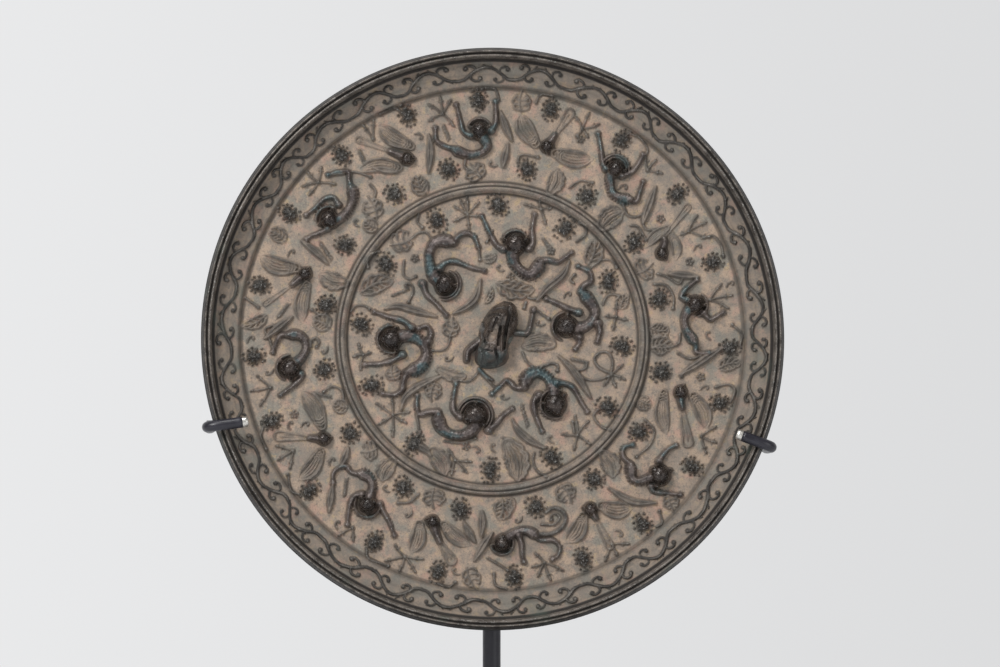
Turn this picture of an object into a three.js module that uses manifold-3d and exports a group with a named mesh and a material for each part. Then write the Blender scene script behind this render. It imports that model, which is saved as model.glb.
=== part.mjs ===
// Bronze mirror with sea beasts and grapevines, held upright by a small steel display stand.
// Millimetres, +Z up. The decorated back of the mirror faces -Y, the plain polished face +Y.
// Origin: centre of the underside of the foot plate.
import * as THREE from 'three';
import { mergeVertices } from 'three/addons/utils/BufferGeometryUtils.js';
import Module from 'manifold-3d';

const wasm = await Module();
wasm.setup();

// ---- Driving dimensions -------------------------------------------------------------------
const RADIUS = 101.5; // outer radius of the mirror
const GROUND = 5; // thickness of the metal under the relief
const RIM_TOP = 14.8; // height of the rim above the polished face
const BULGE = 0.6; // the polished face is very slightly convex
const RING_RADIUS = 53.2; // ridge between the inner and the outer field
const BAND_INNER = 88.4; // border step between the outer field and the scroll band
const BAND_OUTER = 96.2;
const BAND_FOOT = 6.7; // height of the scroll band at its inner edge
const BAND_LIP = 9.4; // and where the rim's inner wall rises from it
const LEAN = THREE.MathUtils.degToRad(3); // the mirror leans back by this angle
const CENTRE_HEIGHT = 171; // mirror centre above the surface that the stand rests on

const POST_DIAMETER = 6.35;
const WIRE_DIAMETER = 3.8;
// The cradle's hooks: where each goes round the rim, in degrees, and the tip of its arm, right and up.
const HOOKS = {
  left: { angle: 197.4, tip: [-84.8, -29.2] },
  right: { angle: -21.6, tip: [84.2, -33.6] },
};
const FOOT = { width: 130, depth: 104, height: 9, corner: 7, edge: 0.8, socket: 6 };
const GAP = 0.3; // clearance between pieces that touch

const SIDES = 60; // facets round the mirror, two to each wave of the vine
const SINK = 1; // relief solids start this far under the ground

// Heights of the relief above the ground.
const HEIGHT = {
  head: 5.2, body: 3.4, limb: 1.7, bird: 3.6, wing: 1.5, grape: 2.4, leaf: 1, stem: 0.9, vine: 0.8,
};

// ---- Where the figures lie ------------------------------------------------------------------
// Outer field: [angle in degrees, anticlockwise from the right, radius]. Inner field: [right, up].
const OUTER_BEASTS = [
  { head: [9.7, 71.8, 3.2], body: [[8, 68.8], [5.5, 67.4], [2.5, 67.8], [0.3, 69.5]],
    limbs: [[[0.3, 69.8], [-3.6, 71.2], [-3.8, 75.3]], [[11.2, 69.5], [13.2, 68], [16, 74]],
      [[7.5, 74], [5, 76.6], [6.4, 81]]] },
  { head: [54.2, 73.5, 3.3], body: [[54, 70], [52, 67.4], [50, 66.2], [47.4, 67.2], [45.2, 69]],
    limbs: [[[45.2, 68.8], [43.8, 69.8], [46, 76]], [[56, 71.5], [59.6, 76], [62.6, 80.6]],
      [[51.6, 73], [50.3, 77], [50.7, 83.2]]] },
  { head: [93.7, 73, 3.2], body: [[92.6, 70.5], [91.6, 67.4], [94, 65.2], [97.5, 65], [101, 67.6]],
    limbs: [[[101, 67.6], [105, 70], [105.2, 76.4]], [[96, 71.6], [98.2, 76], [98.8, 82.8]],
      [[90.4, 73.5], [89.3, 77], [89.2, 83]]] },
  { head: [143.8, 70.8, 3.4], body: [[142, 68], [138.6, 67.6], [135.4, 68.8], [133.4, 71.6]],
    limbs: [[[133.3, 71.6], [131.2, 77.2], [134.8, 81.2]], [[146.2, 69.6], [149, 71.4], [151.4, 73.8]],
      [[139.2, 71.5], [139, 76.2], [146, 78]]] },
  { head: [188.3, 71.6, 3.8], body: [[186, 67.4], [183, 65.4], [180, 66], [178.8, 69], [179.2, 72.6]],
    limbs: [[[179.2, 72.6], [180.8, 75.4], [183.2, 76.8]], [[190.6, 68.4], [193, 71], [194.6, 76.2]]] },
  { head: [232.9, 72.5, 3.3], body: [[231.8, 69], [230.6, 66.4], [228, 65.1], [225, 66.6]],
    limbs: [[[225, 66.6], [220.6, 68.4], [221.2, 74.6]], [[235.6, 69.8], [239, 72.6], [243.1, 76.4]],
      [[229.8, 71], [228.9, 75], [231.8, 82]]] },
  { head: [272.5, 71.3, 3.2], body: [[275, 68.6], [278.4, 67.6], [281.4, 69], [283.2, 71.6]],
    limbs: [[[283.2, 71.6], [287.4, 74.4], [286.2, 79.6]], [[277.6, 69.5], [277.8, 74], [277.9, 78.2]],
      [[283.8, 70], [291.4, 68], [290.2, 62.8]]] },
  { head: [320.7, 75.4, 3.9], body: [[318, 72.6], [315.6, 71], [315.2, 68.4], [317, 65]],
    limbs: [[[317, 65], [318, 61], [322.3, 60.6]], [[316.4, 77], [318, 80.6], [320, 85]],
      [[323.6, 72.4], [326.4, 72.2], [329.5, 73.8]]] },
];
const INNER_BEASTS = [
  { head: [-16.8, 19.2, 4.4], body: [[-20.6, 22.6], [-22, 27], [-21.4, 32], [-17.6, 34.3], [-13.2, 33.4]],
    limbs: [[[-13.2, 33.6], [-9.4, 36.8], [-5.2, 33]], [[-18.4, 25], [-13, 26.9], [-3.4, 23.9]],
      [[-23.4, 16], [-19.4, 11.8], [-16.4, 8.4]]] },
  { head: [8, 33.2, 4.3], body: [[7.3, 29], [8.8, 25.4], [12.4, 22.8], [15.2, 24.8], [17.2, 27.2]],
    limbs: [[[17.4, 27.3], [22.6, 26.8], [27, 30]], [[13.4, 32], [14, 38], [14.6, 43.3]],
      [[3.6, 32], [0.2, 36], [-3.4, 42.5]]] },
  { head: [25.8, 4.2, 4.4], body: [[30.6, 3.6], [35, 5.6], [35.6, 10], [32.6, 13.6], [31.2, 16.8]],
    limbs: [[[31.4, 17], [34.6, 21.4], [30.2, 25.2]], [[29.4, 9.6], [24.4, 11.6], [19.2, 13.8]]] },
  { head: [21.6, -22.9, 4.9], body: [[19.6, -15.8], [17.2, -12.4], [13.4, -12.2], [11.4, -14.6], [10.6, -17]],
    limbs: [[[10, -17.2], [4.8, -14.8], [0, -18.8]], [[25, -17], [29, -18.4], [32.6, -25]],
      [[16, -20], [14.2, -24], [17, -32]]] },
  { head: [-6.2, -26.4, 4.9], body: [[-7, -31.6], [-12, -33.6], [-16.8, -32.4], [-19, -29], [-18.8, -25.6]],
    limbs: [[[-19.4, -25.4], [-25.4, -26.2], [-26.6, -20.4]], [[-0.6, -31.4], [3.4, -27.8], [6.4, -24.8]],
      [[-13.4, -27], [-13.9, -22], [-13, -16.4]]] },
  { head: [-35.4, -0.2, 4.5], body: [[-29.8, 0.4], [-25.4, -1], [-23.4, -5.2], [-25.4, -9.6], [-30, -11.6]],
    limbs: [[[-30.6, -12.4], [-31.6, -17.4], [-38, -19.3]], [[-27.6, 4.4], [-34, 7.1], [-41.2, 9.3]],
      [[-31.6, -6.2], [-37.6, -8.4], [-44.2, -9]]] },
];
// Birds: head, two wings and the tail, each a line from the body to its tip.
const BIRDS = [
  { head: [27, 66.6], wings: [[[29.6, 67.5], [23.4, 69.6]], [[31.2, 64.6], [32.4, 71.5]]],
    tail: [[30.4, 71], [33.9, 82.2]] },
  { head: [74.4, 70], wings: [[[77.4, 69.6], [81.8, 78.6]], [[70.4, 67.4], [61.4, 72]]],
    tail: [[73.4, 76], [71, 83]] },
  { head: [115.4, 69.8], wings: [[[112.4, 73.6], [117.8, 84.6]], [[118.8, 67.4], [127.2, 75.4]]],
    tail: [[118.6, 75], [123.8, 83.8]] },
  { head: [161, 69.2], wings: [[[159.8, 73], [160.4, 86]], [[164.2, 66.6], [174.4, 67]]],
    tail: [[164.8, 72.6], [171, 80.2]] },
  { head: [210.6, 68.6], wings: [[[213.4, 72], [215.8, 83.4]], [[206.6, 66.4], [195.6, 68.8]]],
    tail: [[208.2, 72.4], [204.4, 81.6]] },
  { head: [252, 67.2], wings: [[[248.4, 69.6], [248.8, 79.8]], [[255.8, 66.8], [263.8, 72]]],
    tail: [[254.6, 71.6], [259.4, 77.8]] },
  { head: [299.7, 68.6], wings: [[[296.4, 69.4], [289.8, 75]], [[303.4, 69.4], [309.2, 76.4]]],
    tail: [[299.7, 72.4], [299.5, 82.6]] },
  { head: [344, 68.2], wings: [[[344, 73.4], [337.4, 80.6]], [[342.2, 62.6], [331.6, 69.2]]],
    tail: [[340.2, 70.2], [332.6, 77]] },
];
// Bunches of grapes: the outer row hangs from the border, the inner row lies along the ring.
const OUTER_GRAPES = [-2.2, 19.2, 38.1, 57, 75.8, 93.4, 110.9, 129.4, 148.4, 167, 184.3, 200.4, 219.6, 239.7,
  256.7, 275, 292.2, 308.9, 327.3, 344.2].map((angle) => [angle, 83]);
const INNER_GRAPES = [[13.4, 60], [34.2, 60], [56.6, 60], [78.6, 60.4], [104.6, 61.4], [124, 61], [147.6, 61],
  [168.6, 59.4], [190.4, 59.6], [213.6, 59.8], [238.8, 60.4], [259.4, 60.4], [284.2, 60.6], [305.6, 60.2],
  [327.5, 60.4], [348.8, 60]];
const CORE_GRAPES = [[-19.5, 41.4, -60], [1.9, 46.9, -50], [25.4, 38.6, 50], [-37.4, 26.2, -60],
  [40.5, 20.2, 80], [-45.8, 5, -45], [45.1, -2.6, -10], [-42.5, -16.2, 20], [40, -24, -25],
  [-27.4, -36.6, 65],
  [-1, -46, 80], [20.4, -41.5, 30]];
// Palmettes, and plain leaves between the bunches.
const OUTER_PALMETTES = [10.4, 28.9, 47.6, 66.9, 102.4, 138, 192.4, 209.2, 232, 248, 282.8, 334.7];
const CORE_PALMETTES = [[-8.8, 43.4], [-34.8, -26.6], [29.6, -33.4], [41.4, -12.4], [-13, -42.6], [43.2, 8]];
const INNER_LEAVES = [
  3, 24.6, 45.4, 69, 96.6, 114.4, 132.6, 159, 175, 203, 222, 231, 249.6, 274, 295.4, 312.6,
  337, 357];
const OUTER_LEAVES = [83, 120.4, 154.6, 176, 265.4, 299.6, 317.6, 353.4];
const CORE_LEAVES = [[-31.4, 34.4], [-40.6, 17.4], [34.4, 30.4], [-20.8, -18.4], [7.4, -42], [-19, -43],
  [-14, -12.2], [-14.6, 3.2], [15.4, -2], [8.6, 18.4]];
// Spear-shaped shoots: start, middle and end.
const OUTER_SPEARS = [[[17, 75.4], [18.6, 69.6], [20.4, 65.6]], [[107.4, 75], [108.6, 69.6], [111, 62.6]],
  [[153, 75.2], [154.2, 68.6], [155.6, 63.4]], [[226.4, 83], [224.6, 79.4], [222.6, 75.6]],
  [[219.7, 68.6], [218.4, 65.8], [217, 63.4]], [[265.6, 77.6], [267.6, 72.4], [269.4, 68]],
  [[264.9, 71.2], [263.2, 68.2], [261.2, 65.2]], [[314.4, 80.6], [310, 73.8], [307.8, 66]],
  [[87.8, 79.6], [86, 74], [84.4, 70]], [[85.6, 68.4], [86.2, 64.4], [86.5, 60.4]],
  [[266.6, 69], [266.6, 64], [266.5, 60.6]], [[179.6, 79.4], [176, 73.6], [174.4, 70.2]],
  [[357.8, 81], [353.6, 72.6], [349, 66.4]], [[42.8, 77.6], [38.6, 68.4], [35, 66.4]]];
const CORE_SPEARS = [[[-37.6, 10.8], [-30, 10.9], [-20, 7.8]], [[-4.4, 20.6], [-7, 13.8], [-14, 8.7]],
  [[27, 26.8], [21, 19.6], [15.6, 13.5]], [[23.6, -6.6], [29.6, -12.6], [34.2, -20.4]],
  [[6.8, -28.4], [10.6, -33.8], [18, -38.2]], [[-32.2, -24.6], [-27.6, -17.4], [-18.6, -13.4]]];

// The knob: a crouching beast, pierced crosswise for a cord.
const KNOB = { rump: [4, 7], chest: [-0.5, -4.4], height: 9.6, hole: 3.4, holeHeight: 3.4 };

// ---- Shapes -----------------------------------------------------------------------------------
const polar = ([angle, radius]) => {
  const a = THREE.MathUtils.degToRad(angle);
  return [radius * Math.cos(a), radius * Math.sin(a)];
};

function solid(positions, triangles) {
  const mesh = new wasm.Mesh({
    numProp: 3,
    vertProperties: new Float32Array(positions),
    triVerts: new Uint32Array(triangles),
  });
  return new wasm.Manifold(mesh);
}

function solidOf(geometry) {
  const plain = geometry.clone();
  plain.deleteAttribute('normal');
  plain.deleteAttribute('uv');
  const merged = mergeVertices(plain, 1e-4);
  return solid(merged.attributes.position.array, merged.index.array);
}

function geometryOf(manifold) {
  const mesh = manifold.getMesh();
  const geometry = new THREE.BufferGeometry();
  geometry.setAttribute('position', new THREE.BufferAttribute(new Float32Array(mesh.vertProperties), 3));
  geometry.setIndex(new THREE.BufferAttribute(new Uint32Array(mesh.triVerts), 1));
  geometry.computeVertexNormals();
  return geometry;
}

// A stack of rings with the same number of points, closed at both ends by a fan.
function loft(rings) {
  const count = rings[0].length;
  const positions = rings.flat(2);
  const triangles = [];
  for (let i = 0; i + 1 < rings.length; i += 1) {
    for (let j = 0; j < count; j += 1) {
      const a = i * count + j;
      const b = i * count + ((j + 1) % count);
      triangles.push(a, b, b + count, a, b + count, a + count);
    }
  }
  const last = (rings.length - 1) * count;
  for (let j = 1; j + 1 < count; j += 1) {
    triangles.push(0, j + 1, j);
    triangles.push(last, last + j, last + j + 1);
  }
  return solid(positions, triangles);
}

// A stack of rings closed below by a fan and above by one point.
function pointed(rings, apex) {
  const count = rings[0].length;
  const positions = [...rings.flat(2), ...apex];
  const tip = rings.length * count;
  const triangles = [];
  for (let i = 0; i < rings.length; i += 1) {
    for (let j = 0; j < count; j += 1) {
      const a = i * count + j;
      const b = i * count + ((j + 1) % count);
      if (i + 1 === rings.length) triangles.push(a, b, tip);
      else triangles.push(a, b, b + count, a, b + count, a + count);
    }
  }
  for (let j = 1; j + 1 < count; j += 1) triangles.push(0, j + 1, j);
  return solid(positions, triangles);
}

// A dome on the ground: an oval foot, a shoulder ring and a crown that closes in one point.
function dome(x, y, longRadius, shortRadius, turn, height, sides) {
  const angle = THREE.MathUtils.degToRad(turn);
  const levels = [[1, GROUND - SINK], [0.82, GROUND + 0.66 * height]];
  const rings = levels.map(([share, z]) => Array.from({ length: sides }, (_, i) => {
    const t = (2 * Math.PI * i) / sides;
    const along = share * longRadius * Math.cos(t);
    const across = share * shortRadius * Math.sin(t);
    return [x + along * Math.cos(angle) - across * Math.sin(angle),
      y + along * Math.sin(angle) + across * Math.cos(angle), z];
  }));
  return pointed(rings, [x, y, GROUND + height]);
}

// A raised band along a path, as wide and high at each station as its profile says.
function ridge(path, halfWidths, heights, section) {
  const rings = path.map(([x, y], i) => {
    const before = path[Math.max(i - 1, 0)];
    const after = path[Math.min(i + 1, path.length - 1)];
    const length = Math.hypot(after[0] - before[0], after[1] - before[1]);
    const side = [-(after[1] - before[1]) / length, (after[0] - before[0]) / length];
    return section.map(([across, up]) => [
      x + side[0] * across * halfWidths[i],
      y + side[1] * across * halfWidths[i],
      up < 0 ? GROUND - SINK : GROUND + up * heights[i],
    ]);
  });
  return loft(rings);
}
const BACK = [[1, -1], [0.6, 1], [-0.6, 1], [-1, -1]]; // broad back of a body or wing
const ROOF = [[1, -1], [0, 1], [-1, -1]]; // plain ridge of a limb or stem

// A low pointed star or leaf: an outline on the ground rising to one point.
function peak(x, y, outline, height) {
  const foot = outline.map(([u, v]) => [x + u, y + v, GROUND - 0.3 * SINK]);
  return pointed([foot], [x, y, GROUND + height]);
}

// A wing: broad past its root, narrow at its tip.
function blade(root, tip, half, height) {
  const length = Math.hypot(tip[0] - root[0], tip[1] - root[1]);
  const along = [(tip[0] - root[0]) / length, (tip[1] - root[1]) / length];
  const outline = [[-0.1, -0.7], [0.55, -1], [1, -0.15], [1, 0.15], [0.55, 1], [-0.1, 0.7]];
  const centre = [0.45 * length, 0];
  return peak(root[0] + along[0] * centre[0], root[1] + along[1] * centre[0], outline.map(([share, out]) => {
    const u = share * length - centre[0];
    const v = out * half;
    return [u * along[0] - v * along[1], u * along[1] + v * along[0]];
  }), height);
}

function leaf(x, y, length, width, turn) {
  const angle = THREE.MathUtils.degToRad(turn);
  const outline = [[1, 0], [0.45, 0.8], [-0.5, 0.8], [-1, 0], [-0.5, -0.8], [0.45, -0.8]];
  return peak(x, y, outline.map(([u, v]) => [
    (u * length * Math.cos(angle) - v * width * Math.sin(angle)) / 2,
    (u * length * Math.sin(angle) + v * width * Math.cos(angle)) / 2,
  ]), HEIGHT.leaf);
}

function star(x, y, radius, turn) {
  const points = 5;
  const outline = Array.from({ length: 2 * points }, (_, i) => {
    const angle = THREE.MathUtils.degToRad(turn) + (Math.PI * i) / points;
    const reach = i % 2 === 0 ? radius : 0.3 * radius;
    return [reach * Math.cos(angle), reach * Math.sin(angle)];
  });
  return peak(x, y, outline, HEIGHT.leaf);
}

// ---- The mirror -------------------------------------------------------------------------------
// The disc is turned: each row is a radius and a height. The rows of the running vine swing in and
// out once in two facets, which gives the scroll band its 30 waves.
function disc() {
  const ring = RING_RADIUS;
  const slope = (BAND_LIP - BAND_FOOT) / (BAND_OUTER - BAND_INNER - 1);
  const bandHeight = (radius) => BAND_FOOT + slope * (radius - BAND_INNER - 1);
  const middle = (BAND_INNER + 1 + BAND_OUTER) / 2;
  const swing = 1.7;
  const plain = (radius, height) => () => [radius, height];
  const wave = (offset, rise) => (i) => {
    const radius = middle + offset + (i % 2 === 0 ? swing : -swing);
    return [radius, bandHeight(radius) + rise];
  };
  const rows = [
    plain(ring - 1.8, GROUND), plain(ring - 1.1, GROUND + 2.3), plain(ring + 1, GROUND + 2.6),
    plain(ring + 1.5, GROUND), plain(BAND_INNER, GROUND + 0.2), plain(BAND_INNER + 1, BAND_FOOT),
    wave(-0.6, 0), wave(0, HEIGHT.vine), wave(0.6, 0),
    plain(BAND_OUTER, BAND_LIP), plain(RADIUS - 4.2, RIM_TOP - 1), plain(RADIUS - 2, RIM_TOP),
    plain(RADIUS - 0.6, RIM_TOP), plain(RADIUS, RIM_TOP - 1.2), plain(RADIUS - 0.6, 0),
  ];
  const positions = rows.flatMap((row) => Array.from({ length: SIDES }, (_, i) => {
    const angle = (2 * Math.PI * i) / SIDES;
    const [radius, height] = row(i);
    return [radius * Math.cos(angle), radius * Math.sin(angle), height];
  })).flat();
  positions.push(0, 0, GROUND, 0, 0, -BULGE);
  const top = rows.length * SIDES;
  const triangles = [];
  for (let j = 0; j < SIDES; j += 1) {
    const next = (j + 1) % SIDES;
    for (let i = 0; i + 1 < rows.length; i += 1) {
      const [a, b] = [i * SIDES + j, i * SIDES + next];
      triangles.push(a, a + SIDES, b + SIDES, a, b + SIDES, b);
    }
    triangles.push(top, j, next);
    triangles.push(top + 1, (rows.length - 1) * SIDES + next, (rows.length - 1) * SIDES + j);
  }
  return solid(positions, triangles);
}

function beast({ head, body, limbs }, place, forward) {
  const at = place(head);
  const spine = [at, ...body.map(place)];
  const widths = spine.map((_, i) => 1.95 - 0.16 * i);
  const parts = [
    dome(at[0], at[1], head[2], 0.94 * head[2], forward, HEIGHT.head, 7),
    ridge(spine, widths, spine.map(() => HEIGHT.body), BACK),
  ];
  for (const limb of limbs) {
    parts.push(ridge(limb.map(place), [1.05, 0.85, 1.05], [1.15, 0.9, 1].map((s) => s * HEIGHT.limb), ROOF));
  }
  return parts;
}

function bird({ head, wings, tail }) {
  const at = polar(head);
  const parts = [dome(at[0], at[1], 2.6, 2.4, head[0], HEIGHT.bird, 6)];
  for (const wing of wings) parts.push(blade(...wing.map(polar), 2.3, HEIGHT.wing));
  const heights = [1.6, 1, 0.8].map((s) => s * HEIGHT.wing);
  parts.push(ridge([at, ...tail.map(polar)], [1.2, 0.9, 1.2], heights, ROOF));
  return parts;
}

// A shoot bent at its middle, which is also its widest place.
function spear([start, middle, end]) {
  const length = Math.hypot(end[0] - start[0], end[1] - start[1]);
  const side = [-(end[1] - start[1]) / length, (end[0] - start[0]) / length];
  const half = 0.8;
  const outline = [start, [middle[0] - half * side[0], middle[1] - half * side[1]], end,
    [middle[0] + half * side[0], middle[1] + half * side[1]]];
  return peak(...middle, outline.map(([x, y]) => [x - middle[0], y - middle[1]]), HEIGHT.stem);
}

function knob() {
  const { rump, chest, height } = KNOB;
  const along = [rump[0] - chest[0], rump[1] - chest[1]];
  const turn = THREE.MathUtils.radToDeg(Math.atan2(along[1], along[0]));
  const hull = dome((rump[0] + chest[0]) / 2, (rump[1] + chest[1]) / 2, 12, 6.3, turn, height, 14);
  const forms = [
    hull,
    dome(-1.6, -6.4, 5, 4.4, turn, 0.86 * height, 9),
    ridge([[-3.4, -4.6], [-7.6, -3.2], [-9, -6.8]], [2, 1.7, 1.4], [4.4, 3.2, 2.4], BACK),
    ridge([[1.6, -7.2], [4.6, -7.4]], [2, 1.6], [4.6, 3.2], BACK),
    ridge([[6, 2.4], [11.8, 2], [14.6, 10.6]], [1.1, 0.9, 1.2], [2.6, 1.8, 2], BACK),
    ridge([[-4.6, -10], [-8.4, -15], [-14, -14]], [0.9, 0.6, 0.5], [1.8, 1, 0.9], BACK),
  ];
  const drill = new THREE.CylinderGeometry(KNOB.hole / 2, KNOB.hole / 2, 30, 8);
  drill.rotateZ(THREE.MathUtils.degToRad(turn));
  drill.translate((rump[0] + chest[0]) / 2, (rump[1] + chest[1]) / 2, GROUND + KNOB.holeHeight);
  return { forms, drill: solidOf(drill) };
}

function mirrorGeometry() {
  const { forms, drill } = knob();
  const parts = [disc(), ...forms];
  OUTER_BEASTS.forEach((b) => parts.push(...beast(b, polar, b.head[0])));
  INNER_BEASTS.forEach((b) => parts.push(...beast(b, ([x, y]) => [x, y], 45)));
  BIRDS.forEach((b) => parts.push(...bird(b)));
  for (const [angle, radius] of OUTER_GRAPES) {
    parts.push(dome(...polar([angle, radius]), 4.2, 3, angle, HEIGHT.grape, 5));
  }
  for (const [angle, radius] of INNER_GRAPES) {
    parts.push(dome(...polar([angle, radius]), 4, 3.7, angle, HEIGHT.grape, 5));
  }
  CORE_GRAPES.forEach(([x, y, turn]) => parts.push(dome(x, y, 4.5, 3.5, turn, HEIGHT.grape, 6)));
  OUTER_PALMETTES.forEach((angle) => parts.push(star(...polar([angle, 82]), 5, angle)));
  CORE_PALMETTES.forEach(([x, y]) => parts.push(star(x, y, 5.6, 20)));
  INNER_LEAVES.forEach((angle) => parts.push(leaf(...polar([angle, 59]), 6.4, 6, angle)));
  OUTER_LEAVES.forEach((angle) => parts.push(leaf(...polar([angle, 83.4]), 8.4, 5, angle)));
  CORE_LEAVES.forEach(([x, y], i) => parts.push(leaf(x, y, 8.4, 6, 50 * i)));
  OUTER_SPEARS.forEach((path) => parts.push(spear(path.map(polar))));
  CORE_SPEARS.forEach((path) => parts.push(spear(path)));
  return geometryOf(wasm.Manifold.union(parts).subtract(drill));
}

// ---- The stand --------------------------------------------------------------------------------
function roundSection(diameter, sides) {
  const shape = new THREE.Shape();
  for (let i = 0; i < sides; i += 1) {
    const angle = (2 * Math.PI * i) / sides;
    const point = [(diameter / 2) * Math.cos(angle), (diameter / 2) * Math.sin(angle)];
    if (i === 0) shape.moveTo(...point);
    else shape.lineTo(...point);
  }
  shape.closePath();
  return shape;
}

// One wire bent behind the mirror and hooked over its rim at both ends, in the mirror's own axes.
function cradleGeometry() {
  const outside = RADIUS + GAP + 0.1 + WIRE_DIAMETER / 2;
  const front = RIM_TOP + GAP + 0.1 + WIRE_DIAMETER / 2;
  const behind = -BULGE - GAP - 0.1 - WIRE_DIAMETER / 2;
  const hook = ({ angle, tip }) => {
    const [x, y] = polar([angle, outside]);
    const arm = Math.hypot(tip[0] - x, tip[1] - y);
    const level = (inset, depth) => {
      const share = inset / arm;
      return new THREE.Vector3(x + share * (tip[0] - x), y + share * (tip[1] - y), depth);
    };
    const inwards = (inset, depth) => new THREE.Vector3(...polar([angle, outside - inset]), depth);
    return [level(arm, front - 0.4), level(arm - 4.4, front), level(3.1, front), level(0.8, front - 0.8),
      level(0, front - 3.4), level(0, front / 2), level(0, behind + 3), inwards(0.8, behind + 0.8),
      inwards(3.4, behind)];
  };
  const left = hook(HOOKS.left);
  const right = hook(HOOKS.right);
  const middle = [new THREE.Vector3(-50, -31, behind), new THREE.Vector3(0, -32.6, behind),
    new THREE.Vector3(50, -35, behind)];
  const path = new THREE.CatmullRomCurve3([...left, ...middle, ...right.reverse()], false, 'centripetal');
  return new THREE.ExtrudeGeometry(roundSection(WIRE_DIAMETER, 7), {
    extrudePath: path, steps: 38, bevelEnabled: false,
  });
}

function postGeometry(bottom, top) {
  const post = new THREE.CylinderGeometry(POST_DIAMETER / 2, POST_DIAMETER / 2, top - bottom, 16);
  post.rotateX(Math.PI / 2);
  post.translate(0, 0, (top + bottom) / 2);
  return post;
}

function footGeometry(postDepth) {
  const { width, depth, height, corner, edge, socket } = FOOT;
  const w = width / 2 - edge;
  const d = depth / 2 - edge;
  const r = corner - edge;
  const shape = new THREE.Shape();
  shape.moveTo(-w + r, -d);
  shape.lineTo(w - r, -d);
  shape.absarc(w - r, -d + r, r, -Math.PI / 2, 0);
  shape.lineTo(w, d - r);
  shape.absarc(w - r, d - r, r, 0, Math.PI / 2);
  shape.lineTo(-w + r, d);
  shape.absarc(-w + r, d - r, r, Math.PI / 2, Math.PI);
  shape.lineTo(-w, -d + r);
  shape.absarc(-w + r, -d + r, r, Math.PI, 1.5 * Math.PI);
  const plate = new THREE.ExtrudeGeometry(shape, {
    depth: height - 2 * edge, bevelEnabled: true, bevelThickness: edge, bevelSize: edge, bevelSegments: 1,
    curveSegments: 3,
  });
  plate.translate(0, 0, edge);
  const hole = new THREE.CylinderGeometry(POST_DIAMETER / 2 + GAP, POST_DIAMETER / 2 + GAP, socket + 1, 16);
  hole.rotateX(Math.PI / 2);
  hole.translate(0, postDepth, height - socket / 2 + 0.5);
  return geometryOf(solidOf(plate).subtract(solidOf(hole)));
}

// ---- Assembly ---------------------------------------------------------------------------------
const bronze = new THREE.MeshStandardMaterial({ color: 0x6b6055, roughness: 0.55, metalness: 0.6 });
const blackPaint = new THREE.MeshStandardMaterial({ color: 0x232228, roughness: 0.45, metalness: 0 });
const felt = new THREE.MeshStandardMaterial({ color: 0x1c1b1a, roughness: 0.95, metalness: 0 });

function piece(name, geometry, material) {
  const mesh = new THREE.Mesh(geometry, material);
  mesh.name = name;
  return mesh;
}

const POST_DEPTH = 9.4; // the post stands this far behind the plane of the mirror's centre
const PAD = { width: 7, height: 14, rise: 36 }; // felt pad that the mirror leans on, near the post's top

const group = new THREE.Group();
const leaning = new THREE.Group();
leaning.position.set(0, 0, CENTRE_HEIGHT);
leaning.rotation.x = Math.PI / 2 - LEAN;
leaning.add(piece('mirror', mirrorGeometry(), bronze));
leaning.add(piece('cradle', cradleGeometry(), blackPaint));
group.add(leaning);

const postTop = CENTRE_HEIGHT + PAD.rise + PAD.height / 2 + 3;
const post = piece('post', postGeometry(FOOT.height - FOOT.socket + GAP, postTop), blackPaint);
post.position.y = POST_DEPTH;
group.add(post);

const padFront = PAD.rise * Math.sin(LEAN) + BULGE + PAD.height * Math.sin(LEAN) / 2 + GAP;
const padBack = POST_DEPTH - POST_DIAMETER / 2 - GAP;
const pad = piece('pad', new THREE.BoxGeometry(PAD.width, padBack - padFront, PAD.height), felt);
pad.position.set(0, (padFront + padBack) / 2, CENTRE_HEIGHT + PAD.rise);
group.add(pad);

group.add(piece('foot', footGeometry(POST_DEPTH), blackPaint));

export default group;
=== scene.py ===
import math

import bmesh
import bpy
import numpy as np
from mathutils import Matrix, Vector


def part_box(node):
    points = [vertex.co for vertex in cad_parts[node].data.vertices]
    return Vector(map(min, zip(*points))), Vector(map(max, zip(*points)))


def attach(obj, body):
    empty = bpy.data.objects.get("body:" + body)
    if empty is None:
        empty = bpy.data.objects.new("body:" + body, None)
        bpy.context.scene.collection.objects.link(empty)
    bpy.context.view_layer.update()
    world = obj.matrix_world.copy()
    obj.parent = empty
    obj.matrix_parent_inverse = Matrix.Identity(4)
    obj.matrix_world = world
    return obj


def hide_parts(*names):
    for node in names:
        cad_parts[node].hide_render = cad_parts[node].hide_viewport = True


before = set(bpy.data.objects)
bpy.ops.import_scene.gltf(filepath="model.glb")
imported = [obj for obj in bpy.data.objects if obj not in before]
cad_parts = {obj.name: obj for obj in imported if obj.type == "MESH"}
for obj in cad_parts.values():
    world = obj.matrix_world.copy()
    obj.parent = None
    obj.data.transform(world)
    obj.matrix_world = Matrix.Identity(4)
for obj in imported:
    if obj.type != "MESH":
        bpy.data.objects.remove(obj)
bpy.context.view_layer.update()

bl_info = {
    "name": "Bronze mirror with sea beasts and grapevines",
    "version": (1, 0, 0),
    "blender": (4, 5, 0),
    "location": "View3D > Sidebar > Mirror",
    "description": "Builds a cast bronze mirror with its relief, its patina and its display stand",
    "category": "Object",
}

MM = 0.001

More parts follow.
